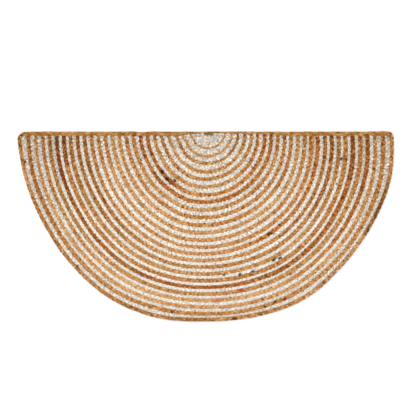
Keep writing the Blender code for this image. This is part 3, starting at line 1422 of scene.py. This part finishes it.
@dataclass
class Braid:
    """A three-strand plait along a route.

    Attributes:
        rng: The source of its unevenness.
        tone: How its colour varies.
        mood: The tone and warmth to add at each point of the route, painted shade near the straight side
            among them.
        section_length: The spacing of the strands' cross-sections.
        sides: How many sides a strand has.
        broad_share: Half a strand's width, as a share of the plait's width.
        thick_share: Half a strand's thickness, as a share of the plait's height.
        unevenness: How much the plait's width varies.
        uneven_spacing: The length over which that changes.
        roughness: How much each point of a strand lies in or out.
        swell: How much the plait's width varies over longer stretches.
        swell_spacing: The length over which that changes.
        sway: How far the plait strays to each side, in millimetres.
        sway_spacing: The length over which that changes.
        tightness: The least and the most that its turns are drawn out, as factors.
        drift: How far its turns run ahead or behind, in radians.
        drift_spacing: The length over which that changes.
        usual_turn: The turn for which the colour's changes are given; they stretch with a longer one.
        calming: How much weaker the changes are where the turn is longer.
        usual_dwell: How much a strand lingers at either side of the plait.
        side_dwell: How much more it does where the turn is long.
        lowest: How far above the floor a strand lies at least.
        shaded_share: How far up the shade at the bottom reaches, as a share of the height.
        cover_level: How far above its middle a strand starts to shade others, in half thicknesses.
        cover_blur: Over what depth below that the shade comes in, in the same.
        shade_start: How far from a covering strand's middle its shade starts to fade, in its radii.
        shade_blur: Over what distance it fades.
        grain_length: The length of strand that one unit of the fibres' map covers.
        block_margin: The room between two strips on the map for baking.
        cap_radius: The size of a cap on both maps.
    """

    route: Route
    rng: np.random.Generator
    tone: Tone
    mood: tuple[Array, Array]
    section_length: float = 2.5
    sides: int = 6
    broad_share: float = 0.265
    thick_share: float = 0.31
    unevenness: float = 0.05
    uneven_spacing: float = 25.0
    roughness: float = 0.05
    swell: float = 0.04
    swell_spacing: float = 90.0
    sway: float = 0.3
    sway_spacing: float = 40.0
    tightness: tuple[float, float] = (0.9, 1.1)
    drift: float = 0.8
    drift_spacing: float = 60.0
    usual_turn: float = 38.4
    calming: float = 0.6
    usual_dwell: float = 0.2
    side_dwell: float = 1.8
    lowest: float = 0.02
    shaded_share: float = 0.55
    cover_level: float = 0.7
    cover_blur: float = 0.8
    shade_start: float = 0.9
    shade_blur: float = 0.6
    grain_length: float = 10.0
    block_margin: float = 0.5
    cap_radius: float = 0.4

    def parts(self) -> MeshParts:
        """Builds the three strands.

        Returns:
            The strands.
        """
        route = self.route.stepped(self.section_length)
        along = route.lengths()
        mood = [np.interp(along, self.route.lengths(), values) for values in self.mood]
        stray = self.sway * wander(along, self.sway_spacing, self.rng)
        route.points = route.points + route.outward() * stray[:, None]
        lines = self.strand_lines(route, along)
        look = self.tone
        pace = np.cumsum(self.section_length * self.usual_turn / route.turn)
        calm = np.minimum(self.usual_turn / route.turn, 1.0) ** self.calming
        slower, slow = (wander(along, spacing, self.rng) for spacing in look.slow_spacings)
        tone = mood[0] + look.middle + look.row * self.rng.normal()
        tone = tone + calm * (look.slow * (slower + slow))
        slow_warmth = look.slow_warmth * wander(along, look.slow_warmth_spacing, self.rng)
        warmth = mood[1] + look.warmth + slow_warmth
        parts = MeshParts()
        for strand, line in enumerate(lines):
            own_tone, own_warmth = self.strand_look(look.strands[strand], pace)
            others = [other for other in lines if other is not line]
            self.tube(parts, route, line, others, tone + calm * own_tone, warmth + calm * own_warmth)
            self.map_tube(parts, strand, along)
        return parts

    def strand_look(self, own: StrandLook, pace: Array) -> tuple[Array, Array]:
        """What one strand adds to its plait's colour, from lobe to lobe and within each.

        Args:
            own: What it adds all along.
            pace: The length along the plait at each point, shorter where the turn is longer.

        Returns:
            The tone and the warmth at each point.
        """
        look = self.tone
        tone = own.tone + look.strand * self.rng.normal()
        tone = tone + look.lobe * wander(pace, look.lobe_spacing, self.rng, lively=True)
        tone = tone + look.fine * wander(pace, look.fine_spacing, self.rng, lively=True)
        spread = look.warmth_spread * wander(pace, look.lobe_spacing, self.rng, lively=True)
        return tone, own.warmth + spread

    def strand_lines(self, route: Route, along: Array) -> list[StrandLine]:
        """Where the three strands lie within the plait, in turns of uneven length and width.

        Args:
            route: The evenly spaced route.
            along: The length along it at each point.

        Returns:
            The three strands' lines.
        """
        turns = np.cumsum(self.section_length / route.turn) / self.rng.uniform(*self.tightness)
        phase = 2 * math.pi * turns + self.drift * wander(along, self.drift_spacing, self.rng)
        phase = phase + self.rng.uniform(0, 2 * math.pi)
        size = 1 + self.unevenness * wander(along, self.uneven_spacing, self.rng)
        size = size + self.swell * wander(along, self.swell_spacing, self.rng)
        starts = (2 * math.pi * strand / STRANDS for strand in range(STRANDS))
        return [self.strand_line(route, phase + start, size) for start in starts]

    def strand_line(self, route: Route, turn: Array, size: Array) -> StrandLine:
        """Where one strand lies within the plait.

        Args:
            route: The evenly spaced route.
            turn: How far round the plait the strand is at each point, in radians.
            size: A factor on the plait's width at each point.

        Returns:
            Its line: how far its middle lies to the outer side, its height and its size.
        """
        tip, flat = np.sin(route.roll), np.cos(route.roll)
        half_width = (self.broad_share * flat + self.thick_share * tip) * route.width * size
        half_height = (self.thick_share * flat + self.broad_share * tip) * route.height
        dwell = self.usual_dwell + self.side_dwell * smoothstep(route.turn / self.usual_turn - 1)
        swing = np.tanh(dwell * np.sin(turn)) / np.tanh(dwell)
        across = (route.width * size / 2 - half_width) * (flat * swing + tip * np.sin(2 * turn))
        rise = (route.height / 2 - half_height) * (flat * np.sin(2 * turn) - tip * np.sin(turn))
        return StrandLine(across, route.height / 2 + rise, half_width, half_height)

    def tube(
        self,
        parts: MeshParts,
        route: Route,
        line: StrandLine,
        others: list[StrandLine],
        tone: Array,
        warmth: Array,
    ) -> None:
        """Adds one strand as a closed tube whose seam lies below.

        Args:
            parts: The mesh to add it to.
            route: The plait's evenly spaced route.
            line: The strand's place in the plait.
            others: The other strands' places.
            tone: Its tone at each point.
            warmth: Its warmth at each point.
        """
        centre = np.column_stack([route.points + route.outward() * line.across[:, None], line.level])
        count = len(centre)
        side, up = beside_and_above(centre)
        angles = np.arange(self.sides) * 2 * math.pi / self.sides - math.pi / 2
        uneven = 1 + self.rng.normal(0.0, self.roughness, (count, self.sides, 1))
        ring = (
            np.cos(angles)[None, :, None] * side[:, None, :] * line.half_width[:, None, None]
            + np.sin(angles)[None, :, None] * up[:, None, :] * line.half_height[:, None, None]
        )
        points = centre[:, None, :] + ring * uneven
        points[:, :, 2] = np.clip(points[:, :, 2], self.lowest, route.height[:, None])
        spread = self.rng.normal(0.0, self.tone.grain, (count, self.sides))
        first = parts.add(
            points.reshape(-1, 3),
            tone=(tone[:, None] + spread).ravel(),
            warmth=np.repeat(np.clip(warmth, 0.0, 1.0), self.sides),
            depth=self.depth(route, points, others).ravel(),
        )
        number = first + np.arange(count * self.sides).reshape(1, count, self.sides)
        parts.faces += tube_faces(number)

    def depth(self, route: Route, points: Array, others: list[StrandLine]) -> Array:
        """How much painted shade points of a strand get: low in the plait, or under another strand.

        Args:
            route: The plait's evenly spaced route.
            points: The points, by section and by place round it.
            others: The other strands' places.

        Returns:
            The painted shade of each, from 0 to 1.
        """
        outward = route.outward()[:, None, :]
        offset = ((points[:, :, :2] - route.points[:, None, :]) * outward).sum(axis=2)
        level = points[:, :, 2]
        # Painted shade low in the plait, and under the other strands where they cover it.
        depth = 1 - smoothstep(level / route.height[:, None] / self.shaded_share)
        for other in others:
            half_height = other.half_height[:, None]
            sideways = (offset - other.across[:, None]) / other.half_width[:, None]
            apart = np.hypot(sideways, (level - other.level[:, None]) / half_height)
            below = (other.level + self.cover_level * other.half_height)[:, None] - level
            under = smoothstep(below / (self.cover_blur * half_height))
            near = 1 - smoothstep((apart - self.shade_start) / self.shade_blur)
            depth = np.maximum(depth, under * near)
        return depth

    def map_tube(self, parts: MeshParts, strand: int, along: Array) -> None:
        """Adds one strand's places on both maps, the caps' last.

        Args:
            parts: The mesh that has the strand.
            strand: Its number.
            along: The length along the plait at each section.
        """
        sides, spans = self.sides, len(along) - 1
        low_u = np.repeat(along[:-1] / self.grain_length, sides)
        high_u = np.repeat(along[1:] / self.grain_length, sides)
        low_v = np.tile(np.arange(sides) / sides, spans)
        turn = np.arange(sides) * 2 * math.pi / sides
        cap = np.stack([np.cos(turn), np.sin(turn)], axis=1) * self.cap_radius
        parts.strand_places += [boxes(low_u, low_v, high_u, low_v + 1 / sides), cap, cap]
        block = sides + self.block_margin
        columns = max(math.ceil(math.sqrt(STRANDS * spans * block)), sides)
        cell = strand * spans + np.repeat(np.arange(spans), sides)
        left = cell % columns
        bottom = (cell // columns) * block + np.tile(np.arange(sides), spans)
        top_row = math.ceil(STRANDS * spans / columns) * block
        size = np.array([columns, top_row + 1])
        caps = [cap + np.array([2 * strand + shift, top_row + 0.5]) for shift in (0.5, 1.5)]
        walls = boxes(left, bottom, left + 1, bottom + 1)
        parts.bake_places += [places / size for places in (walls, *caps)]


NATURAL_TONE = Tone(0.453, slow=0.0, lobe=0.12, fine=0.17, grain=0.11, warmth=0.35, warmth_spread=0.4)
WHITE_TONE = Tone(0.49, slow=0.0, lobe=0.06, fine=0.25, grain=0.15, warmth=0.36, warmth_spread=0.45)
CORE_TONE = Tone(
    0.3,
    slow=0.0,
    lobe=0.06,
    fine=0.22,
    grain=0.14,
    warmth=0.35,
    strands=(StrandLook(0.04, -0.1), StrandLook(0.0, 0.0), StrandLook(-0.08, 0.25)),
)
EDGE_TONE = Tone(
    0.475,
    slow=0.09,
    warmth=0.45,
    lobe=0.14,
    fine=0.22,
    strands=(StrandLook(-0.05, 0.5), StrandLook(0.06, -0.3), StrandLook(-0.02, -0.2)),
)


@dataclass
class Threads:
    """Many short thin tubes with three sides, made together as arrays.

    Attributes:
        half_width: Half a tube's width, in millimetres.
        sides: How many sides it has.
        grain_scale: How much of the fibres' map one square of a tube covers, along and round it.
        margin: The room between two tubes on the map for baking.
        cap_corners: The corners of a cap, in its square of that map.
    """

    half_width: float
    sides: int = 3
    grain_scale: tuple[float, float] = (0.2, 0.022)
    margin: float = 0.5
    cap_corners: tuple[tuple[float, float], ...] = ((0.1, 0.2), (0.9, 0.2), (0.5, 1.0))

    def parts(self, lines: Array, tone: Array, warmth: Array) -> MeshParts:
        """Builds a closed tube round each line.

        Args:
            lines: The lines, each with the same number of points, in millimetres.
            tone: Each line's tone.
            warmth: Each line's warmth.

        Returns:
            The tubes.
        """
        count, steps = lines.shape[:2]
        side, up = beside_and_above(lines)
        angles = np.arange(self.sides) * 2 * math.pi / self.sides + math.pi / 2
        ring = np.cos(angles)[:, None] * side[:, :, None] + np.sin(angles)[:, None] * up[:, :, None]
        points = lines[:, :, None] + ring * self.half_width
        each = steps * self.sides
        parts = MeshParts()
        parts.add(
            points.reshape(-1, 3),
            tone=np.repeat(tone, each),
            warmth=np.repeat(np.clip(warmth, 0.0, 1.0), each),
            depth=np.zeros(count * each),
        )
        parts.faces += tube_faces(np.arange(count * each).reshape(count, steps, self.sides))
        self.map_tubes(parts, count, steps - 1)
        return parts

    def map_tubes(self, parts: MeshParts, count: int, spans: int) -> None:
        """Gives each tube a block of its own on the map, its caps above its sides.

        Args:
            parts: The mesh that has the tubes.
            count: How many there are.
            spans: How many squares each has along it.
        """
        block = np.array([spans + self.margin, self.sides + 1 + self.margin])
        columns = math.ceil(math.sqrt(count * block[1] / block[0]))
        rows = math.ceil(count / columns)
        places = (np.arange(count), np.arange(spans), np.arange(self.sides))
        tube, span, side = np.meshgrid(*places, indexing="ij")
        left = (tube % columns) * block[0] + span
        bottom = (tube // columns) * block[1] + side
        walls = boxes(left, bottom, left + 1, bottom + 1)
        tube = np.arange(count)
        x, y = (tube % columns) * block[0], (tube // columns) * block[1] + self.sides
        caps = [
            (np.stack([x + shift, y], axis=1)[:, None, :] + np.array(self.cap_corners)).reshape(-1, 2)
            for shift in (0, 1)
        ]
        size = block * np.array([columns, rows])
        parts.bake_places += [places / size for places in (walls, *caps)]
        parts.strand_places += [places * self.grain_scale for places in (walls, *caps)]


@dataclass
class Sewing:
    """The thread that sews each plait to the next, seen where it crosses the grooves.

    Attributes:
        spacing: The distance from one stitch to the next.
        jitter: How far a stitch strays from its place, as a share of that.
        reach: How far a stitch reaches into the plaits at either side.
        slant: How far it runs along the groove meanwhile.
        shares: Where its four points lie, as shares of its reach.
        level: Its height in the middle of the groove.
        level_spread: How much that differs.
        sink: How far its ends go down into the plaits.
        tone: A stitch's tone, and how much that differs.
        warmth: Its warmth, and how much that differs.
    """

    plan: RingPlan
    wardrobe: Wardrobe
    dye_and_shade: DyeAndShade
    spacing: float = 9.0
    jitter: float = 0.2
    reach: float = 2.6
    slant: float = 3.0
    shares: tuple[float, ...] = (-1.0, -0.4, 0.4, 1.0)
    level: float = 7.3
    level_spread: float = 0.15
    sink: float = 2.2
    tone: tuple[float, float] = (0.6, 0.12)
    warmth: tuple[float, float] = (0.2, 0.2)
    thread: Threads = field(default_factory=lambda: Threads(0.35))
    seed: int = 77

    def build(self) -> bpy.types.Object:
        """Builds all the stitches as one piece.

        Returns:
            The piece.
        """
        rng = np.random.default_rng(self.seed)
        found = []
        for ring in range(1, EDGE_RING + 1):
            found.append(self.stitches(ring, 0, rng))
            if ring < EDGE_RING:
                found.append(self.stitches(ring, 1, rng))
        lines = np.concatenate(found)
        tone, warmth = (rng.normal(*look, len(lines)) for look in (self.tone, self.warmth))
        parts = self.thread.parts(lines, tone, warmth)
        piece = parts.make("stitches", [self.wardrobe.material(Jute.NATURAL)], self.dye_and_shade)
        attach(piece, BODY)
        log.info("%s: %d faces", piece.name, len(piece.data.polygons))
        return piece

    def stitches(self, ring: int, side: int, rng: np.random.Generator) -> Array:
        """The lines of one groove's stitches.

        Args:
            ring: The number of a natural ring.
            side: 0 for the groove on its inner side, 1 for that on its outer one.
            rng: The source of the stitches' unevenness.

        Returns:
            The lines, each with four points.
        """
        radius = float(self.plan.natural_sides(ring, np.array([MIDDLE_ANGLE]))[side][0])
        count = int(math.pi * radius / self.spacing)
        strayed = np.arange(count) + 0.5 + rng.uniform(-self.jitter, self.jitter, count)
        angles = strayed * 180.0 / count
        middle = self.plan.on_ring(self.plan.natural_sides(ring, angles)[side], angles)
        inside = middle[:, 1] < self.plan.field_top(middle[:, 0]) - self.reach
        middle, angles = middle[inside], np.radians(angles[inside])
        out = np.stack([-np.cos(angles), -np.sin(angles)], axis=1)
        along = np.stack([-out[:, 1], out[:, 0]], axis=1)
        lines = []
        for share in self.shares:
            place = middle + out * self.reach * share + along * self.slant * share / 2
            level = self.level - self.sink * share**2 + rng.normal(0.0, self.level_spread, len(place))
            lines.append(np.column_stack([place, level]))
        return np.stack(lines, axis=1)


@dataclass
class Fuzz:
    """The loose fibres that lie and stand on the plaits.

    Attributes:
        spacing: The length of plait that has one fibre.
        fewest: How many a short plait has at least.
        along_range: Where on a plait they lie, as shares of its length.
        across_share: How far from its middle line, as a share of its width.
        turn_spread: How much their way differs from the plait's, in radians.
        bend_spread: How much they bend, in radians.
        length: The usual length of a fibre.
        length_spread: How much that differs, as the spread of its logarithm.
        length_range: The least and the most that it does, as factors.
        lift: How far the middle of a fibre stands off the plait.
        lift_range: The least and the most that it does, as factors.
        root_depth: How far its ends go down into the plait.
        strays: How many of the fibres on a white plait are natural ones.
        steps: How many points a fibre has.
        tone: A fibre's tone, and how much that differs.
        warmth: Its warmth, and how much that differs.
        seed: The seed for the next plait's fibres.
        lines: The fibres so far, by kind of jute.
    """

    wardrobe: Wardrobe
    dye_and_shade: DyeAndShade
    spacing: float = 13.0
    fewest: int = 3
    along_range: tuple[float, float] = (0.02, 0.98)
    across_share: float = 0.32
    turn_spread: float = 0.45
    bend_spread: float = 0.5
    length: float = 8.0
    length_spread: float = 0.4
    length_range: tuple[float, float] = (0.5, 1.8)
    lift: float = 0.7
    lift_range: tuple[float, float] = (0.2, 1.6)
    root_depth: float = 0.8
    strays: float = 0.3
    steps: int = 5
    tone: tuple[float, float] = (0.75, 0.15)
    warmth: tuple[float, float] = (0.3, 0.25)
    thread: Threads = field(default_factory=lambda: Threads(0.17))
    seed: int = 501
    lines: dict[Jute, list[Array]] = field(default_factory=dict)

    def scatter(self, jute: Jute, route: Route) -> None:
        """Lays fibres along a plait.

        Args:
            jute: The plait's kind of jute.
            route: Its route.
        """
        self.seed += 1
        rng = np.random.default_rng(self.seed)
        along = route.lengths()
        count = max(int(along[-1] / self.spacing), self.fewest)
        at = rng.uniform(*self.along_range, count) * along[-1]
        out = read_along(at, along, route.outward())
        across = np.interp(at, along, route.width)
        across = across * rng.uniform(-self.across_share, self.across_share, count)
        place = read_along(at, along, route.points) + out * across[:, None]
        turn = np.arctan2(-out[:, 0], out[:, 1]) + rng.normal(0.0, self.turn_spread, count)
        bend = rng.normal(0.0, self.bend_spread, count)
        factor = rng.lognormal(0.0, self.length_spread, count).clip(*self.length_range)
        reach = self.length * factor
        root = np.interp(at, along, route.height) - self.root_depth
        lines = []
        for share in np.linspace(0.0, 1.0, self.steps):
            way = turn + bend * (share - 0.5)
            step = np.stack([np.cos(way), np.sin(way)], axis=1) * (reach * (share - 0.5))[:, None]
            rise = self.root_depth + self.lift * rng.uniform(*self.lift_range, count)
            level = root + rise * math.sin(math.pi * share)
            lines.append(np.column_stack([place + step, level]))
        stray = rng.uniform(0.0, 1.0, count) < self.strays
        lines = np.stack(lines, axis=1)
        if jute is Jute.WHITE:
            self.lines.setdefault(Jute.WHITE, []).append(lines[~stray])
            lines = lines[stray]
        self.lines.setdefault(Jute.NATURAL, []).append(lines)

    def build(self) -> list[bpy.types.Object]:
        """Builds the fibres.

        Returns:
            A piece for each kind of jute.
        """
        rng = np.random.default_rng(self.seed)
        made = []
        for jute, found in self.lines.items():
            lines = np.concatenate(found)
            tone, warmth = (rng.normal(*look, len(lines)) for look in (self.tone, self.warmth))
            parts = self.thread.parts(lines, tone, warmth)
            piece = parts.make(f"{jute.value}_fibres", [self.wardrobe.material(jute)], self.dye_and_shade)
            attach(piece, BODY)
            log.info("%s: %d faces", piece.name, len(piece.data.polygons))
            made.append(piece)
        return made


@dataclass
class Plaits:
    """All the plaits, each a piece that stands for its solid.

    Attributes:
        edge_unevenness: How much the edge plait's width varies.
        edge_roughness: How much each point of its strands lies in or out.
        edge_sway: How far it strays to each side, in millimetres.
        seed: The seed for the next plait.
    """

    maker: RouteMaker
    wardrobe: Wardrobe
    dye_and_shade: DyeAndShade
    fuzz: Fuzz
    edge_unevenness: float = 0.045
    edge_roughness: float = 0.0225
    edge_sway: float = 0.15
    seed: int = 2165

    def place(self, name: str, jute: Jute, ring: float, route: Route) -> bpy.types.Object:
        """Braids one plait and puts it in its solid's place.

        Args:
            name: The solid's name.
            jute: The kind of jute.
            ring: The ring's number, for its mood.
            route: The plait's route.

        Returns:
            The piece.
        """
        self.seed += 1
        tone = {Jute.NATURAL: NATURAL_TONE, Jute.WHITE: WHITE_TONE, Jute.EDGE: EDGE_TONE}[jute]
        if ring == CORE_RING:
            tone = CORE_TONE
        mood = self.dye_and_shade.mood(ring, jute, route.points)
        braid = Braid(route, np.random.default_rng(self.seed), tone, mood)
        if jute is Jute.EDGE:
            braid.unevenness, braid.roughness = self.edge_unevenness, self.edge_roughness
            braid.swell, braid.sway = 0.0, self.edge_sway
        piece = braid.parts().make(f"{name}_braid", [self.wardrobe.material(jute)], self.dye_and_shade)
        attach(piece, BODY)
        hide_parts(name)
        self.fuzz.scatter(jute, route)
        log.info("%s: %d faces", piece.name, len(piece.data.polygons))
        return piece

    def build(self) -> list[bpy.types.Object]:
        """Builds the core, the rings and the edge.

        Returns:
            Their pieces.
        """
        maker = self.maker
        low, high = maker.core_centre_share, maker.core_middle_share
        made = [
            self.place("white_core_1", Jute.WHITE, CORE_RING, maker.core_start()),
            self.place("white_core_2", Jute.WHITE, CORE_RING, maker.core_ring(low, high)),
            self.place("white_core_3", Jute.WHITE, CORE_RING, maker.core_ring(high, 1.0)),
        ]
        for ring in range(1, RING_PAIRS + 1):
            made.append(self.place(f"natural_plait_{ring:02d}", Jute.NATURAL, ring, maker.natural(ring)))
            made.append(self.place(f"white_plait_{ring:02d}", Jute.WHITE, ring + 0.5, maker.white(ring)))
        made.append(self.place("edge_plait", Jute.EDGE, EDGE_RING, maker.edge()))
        return made


class GroundLine(NamedTuple):
    """One of the lines that the ground is laid on, with its radius at each angle."""

    radii: Array
    is_rib: bool
    white_outside: bool


@dataclass
class Ground:
    """The plaits' lower fibres, pressed and sewn together into a thin ribbed sheet between the strands.

    Attributes:
        rib_top: How high it reaches under the middle of a plait.
        groove_top: How high it reaches between two plaits.
        thickness: Its thickness, in millimetres.
        tuck: How far it goes under the edge plait.
        steps: How many steps each of its lines has.
        core_shares: The radii of its lines in the core, as shares of the core's.
        tone: Its tone.
        warmth: Its warmth.
        depth: How much painted shade it has.
        flat_size: Its flat size, in metres; not used.
        flat_area: Its flat area, in square metres; not used.
    """

    plan: RingPlan
    wardrobe: Wardrobe
    dye_and_shade: DyeAndShade
    rib_top: float = 5.6
    groove_top: float = 4.6
    thickness: float = 2.4
    tuck: float = 1.5
    steps: int = 120
    core_shares: tuple[float, ...] = (0.1, 0.37, 0.53, 0.69, 0.85)
    tone: float = 0.5
    warmth: float = 0.5
    # Painted shade over the whole sheet.
    depth: float = 0.2
    flat_size: tuple[float, float] = (0.903, 0.456)
    flat_area: float = 0.318

    def lines(self, angles: Array) -> list[GroundLine]:
        """Works out the sheet's lines.

        Args:
            angles: Angles in degrees.

        Returns:
            The lines, from the core out.
        """
        plan = self.plan
        core = plan.core_radius(angles)
        shares = enumerate(self.core_shares)
        found = [GroundLine(core * share, number % 2 == 0, True) for number, share in shares]
        for ring in range(1, EDGE_RING + 1):
            inner, outer = plan.natural_sides(ring, angles)
            found.append(GroundLine(inner, False, False))
            found.append(GroundLine(plan.middle(ring, angles), True, False))
            if ring < EDGE_RING:
                found.append(GroundLine(outer, False, True))
                found.append(GroundLine(plan.middle(ring + 0.5, angles), True, True))
        return found

    def laid(self, line: GroundLine, angles: Array) -> Array:
        """Lays one line, from under the edge plait at its right end to its left.

        Args:
            line: The line.
            angles: The angles that it was worked out at.

        Returns:
            Its points on the sheet's upper side, evenly spaced.
        """
        points = self.plan.on_ring(line.radii, angles)
        inside = np.flatnonzero(points[:, 1] < self.plan.field_top(points[:, 0]) + self.tuck)
        pick = np.linspace(inside[0], inside[-1], self.steps + 1).round().astype(int)
        level = self.rib_top if line.is_rib else self.groove_top
        return np.column_stack([points[pick], np.full(len(pick), level)])

    def cover(self, parts: MeshParts, whites: list[bool]) -> list[int]:
        """Adds the faces of both sides, a pair for each square, and then those of the rim.

        Args:
            parts: The mesh that has the points.
            whites: Whether white jute lies outside each line.

        Returns:
            Each face's material, 0 for natural jute and 1 for white.
        """
        rows, columns = len(whites), self.steps + 1
        number = np.arange(rows * columns).reshape(rows, columns)
        below = rows * columns
        a, b, c, d = number[:-1, :-1], number[:-1, 1:], number[1:, 1:], number[1:, :-1]
        upper, lower = np.stack([a, d, c, b], axis=-1), np.stack([a, b, c, d], axis=-1) + below
        squares = np.stack([upper, lower], axis=2).reshape(-1, 4)
        rim = np.concatenate([number[0], number[1:, -1], number[-1, -2::-1], number[-2:0:-1, 0]])
        ahead = np.roll(rim, -1)
        walls = np.stack([rim, ahead, ahead + below, rim + below], axis=1)
        parts.faces += [tuple(face) for face in [*squares.tolist(), *walls.tolist()]]
        squares_of_row = 2 * (columns - 1)
        return [int(white) for white in whites[:-1] for _ in range(squares_of_row)] + [0] * len(rim)

    def build(self, plaits: list[bpy.types.Object]) -> bpy.types.Object:
        """Args:
            plaits: The plaits, stitches and fibres; not used.

        Returns:
            The sheet.
        """
        angles = np.linspace(180.0, 0.0, self.plan.dense_steps + 1)
        lines = self.lines(angles)
        upper = np.concatenate([self.laid(line, angles) for line in lines])
        points = np.concatenate([upper, upper - np.array([0.0, 0.0, self.thickness])])
        looks = {"tone": self.tone, "warmth": self.warmth, "depth": self.depth}
        parts = MeshParts()
        parts.add(points, **{name: np.full(len(points), value) for name, value in looks.items()})
        kinds = self.cover(parts, [line.white_outside for line in lines])
        materials = [self.wardrobe.material(Jute.NATURAL), self.wardrobe.material(Jute.WHITE)]
        piece = parts.make("sewn_ground", materials, self.dye_and_shade)
        piece.data.polygons.foreach_set("material_index", kinds)
        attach(piece, BODY)
        log.info("%s: %d faces", piece.name, len(piece.data.polygons))
        return piece


@dataclass
class Studio:
    """The pale floor, the soft light and the camera above the mat.

    Attributes:
        view_centre: The point of the floor at the picture's middle, in millimetres.
        view_width: How much of the floor the picture shows, in millimetres.
        lens: The camera's focal length, in millimetres.
        sensor: Its sensor's width, in millimetres.
        floor_size: The floor's side, in metres.
        floor_grey: How much light it sends back.
        key_place: Where the light stands, in metres.
        key_size: Its side, in metres.
        key_power: Its power, in watts.
        sky_strength: How strong the even light from all round is.
    """

    view_centre: tuple[float, float] = (10.5, 39.8)
    view_width: float = 1008.0
    lens: float = 110.0
    sensor: float = 36.0
    floor_size: float = 12.0
    floor_grey: float = 0.97
    floor_roughness: float = 0.9
    floor_specular: float = 0.1
    key_place: tuple[float, float, float] = (-0.5, 0.7, 3.0)
    key_size: float = 2.0
    key_power: float = 42.0
    sky_strength: float = 0.86

    def floor(self) -> None:
        """Adds the floor."""
        bpy.ops.object.select_all(action="DESELECT")
        bpy.ops.mesh.primitive_plane_add(size=self.floor_size, location=(0.0, 0.0, 0.0))
        floor = bpy.context.object
        floor.name = "floor"
        material = bpy.data.materials.new("pale_floor")
        material.use_nodes = True
        shader = material.node_tree.nodes["Principled BSDF"]
        shader.inputs["Base Color"].default_value = (*[self.floor_grey] * 3, 1.0)
        shader.inputs["Roughness"].default_value = self.floor_roughness
        shader.inputs["Specular IOR Level"].default_value = self.floor_specular
        floor.data.materials.append(material)

    def key_light(self) -> None:
        """Adds the large square light, which faces the mat."""
        data = bpy.data.lights.new("key", "AREA")
        data.size = self.key_size
        data.energy = self.key_power
        lamp = bpy.data.objects.new("key", data)
        lamp.location = self.key_place
        lamp.rotation_euler = (-Vector(self.key_place)).to_track_quat("-Z", "Y").to_euler()
        bpy.context.scene.collection.objects.link(lamp)

    def sky(self) -> None:
        """Sets the even light from all round."""
        world = bpy.data.worlds.new("studio")
        world.use_nodes = True
        background = world.node_tree.nodes["Background"]
        background.inputs["Color"].default_value = (1.0, 1.0, 1.0, 1.0)
        background.inputs["Strength"].default_value = self.sky_strength
        bpy.context.scene.world = world

    def camera(self) -> None:
        """Adds the camera, straight above, its picture's top towards the straight side."""
        data = bpy.data.cameras.new("camera")
        data.lens = self.lens
        data.sensor_width = self.sensor
        distance = self.view_width * MM * self.lens / self.sensor
        camera = bpy.data.objects.new("camera", data)
        camera.location = (self.view_centre[0] * MM, self.view_centre[1] * MM, distance)
        bpy.context.scene.collection.objects.link(camera)
        bpy.context.scene.camera = camera

    def build(self) -> None:
        """Sets the whole stage."""
        self.floor()
        self.key_light()
        self.sky()
        self.camera()
        bpy.context.scene.view_settings.view_transform = "Standard"


def main() -> None:
    """Builds the mat and the stage round it."""
    logging.basicConfig(level=logging.INFO)
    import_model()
    plan = RingPlan()
    wardrobe = Wardrobe()
    dye_and_shade = DyeAndShade(plan)
    fuzz = Fuzz(wardrobe, dye_and_shade)
    plaits = Plaits(RouteMaker(plan), wardrobe, dye_and_shade, fuzz).build()
    stitches = Sewing(plan, wardrobe, dye_and_shade).build()
    Ground(plan, wardrobe, dye_and_shade).build([*plaits, stitches, *fuzz.build()])
    Studio().build()


if __name__ == "__main__":
    main()
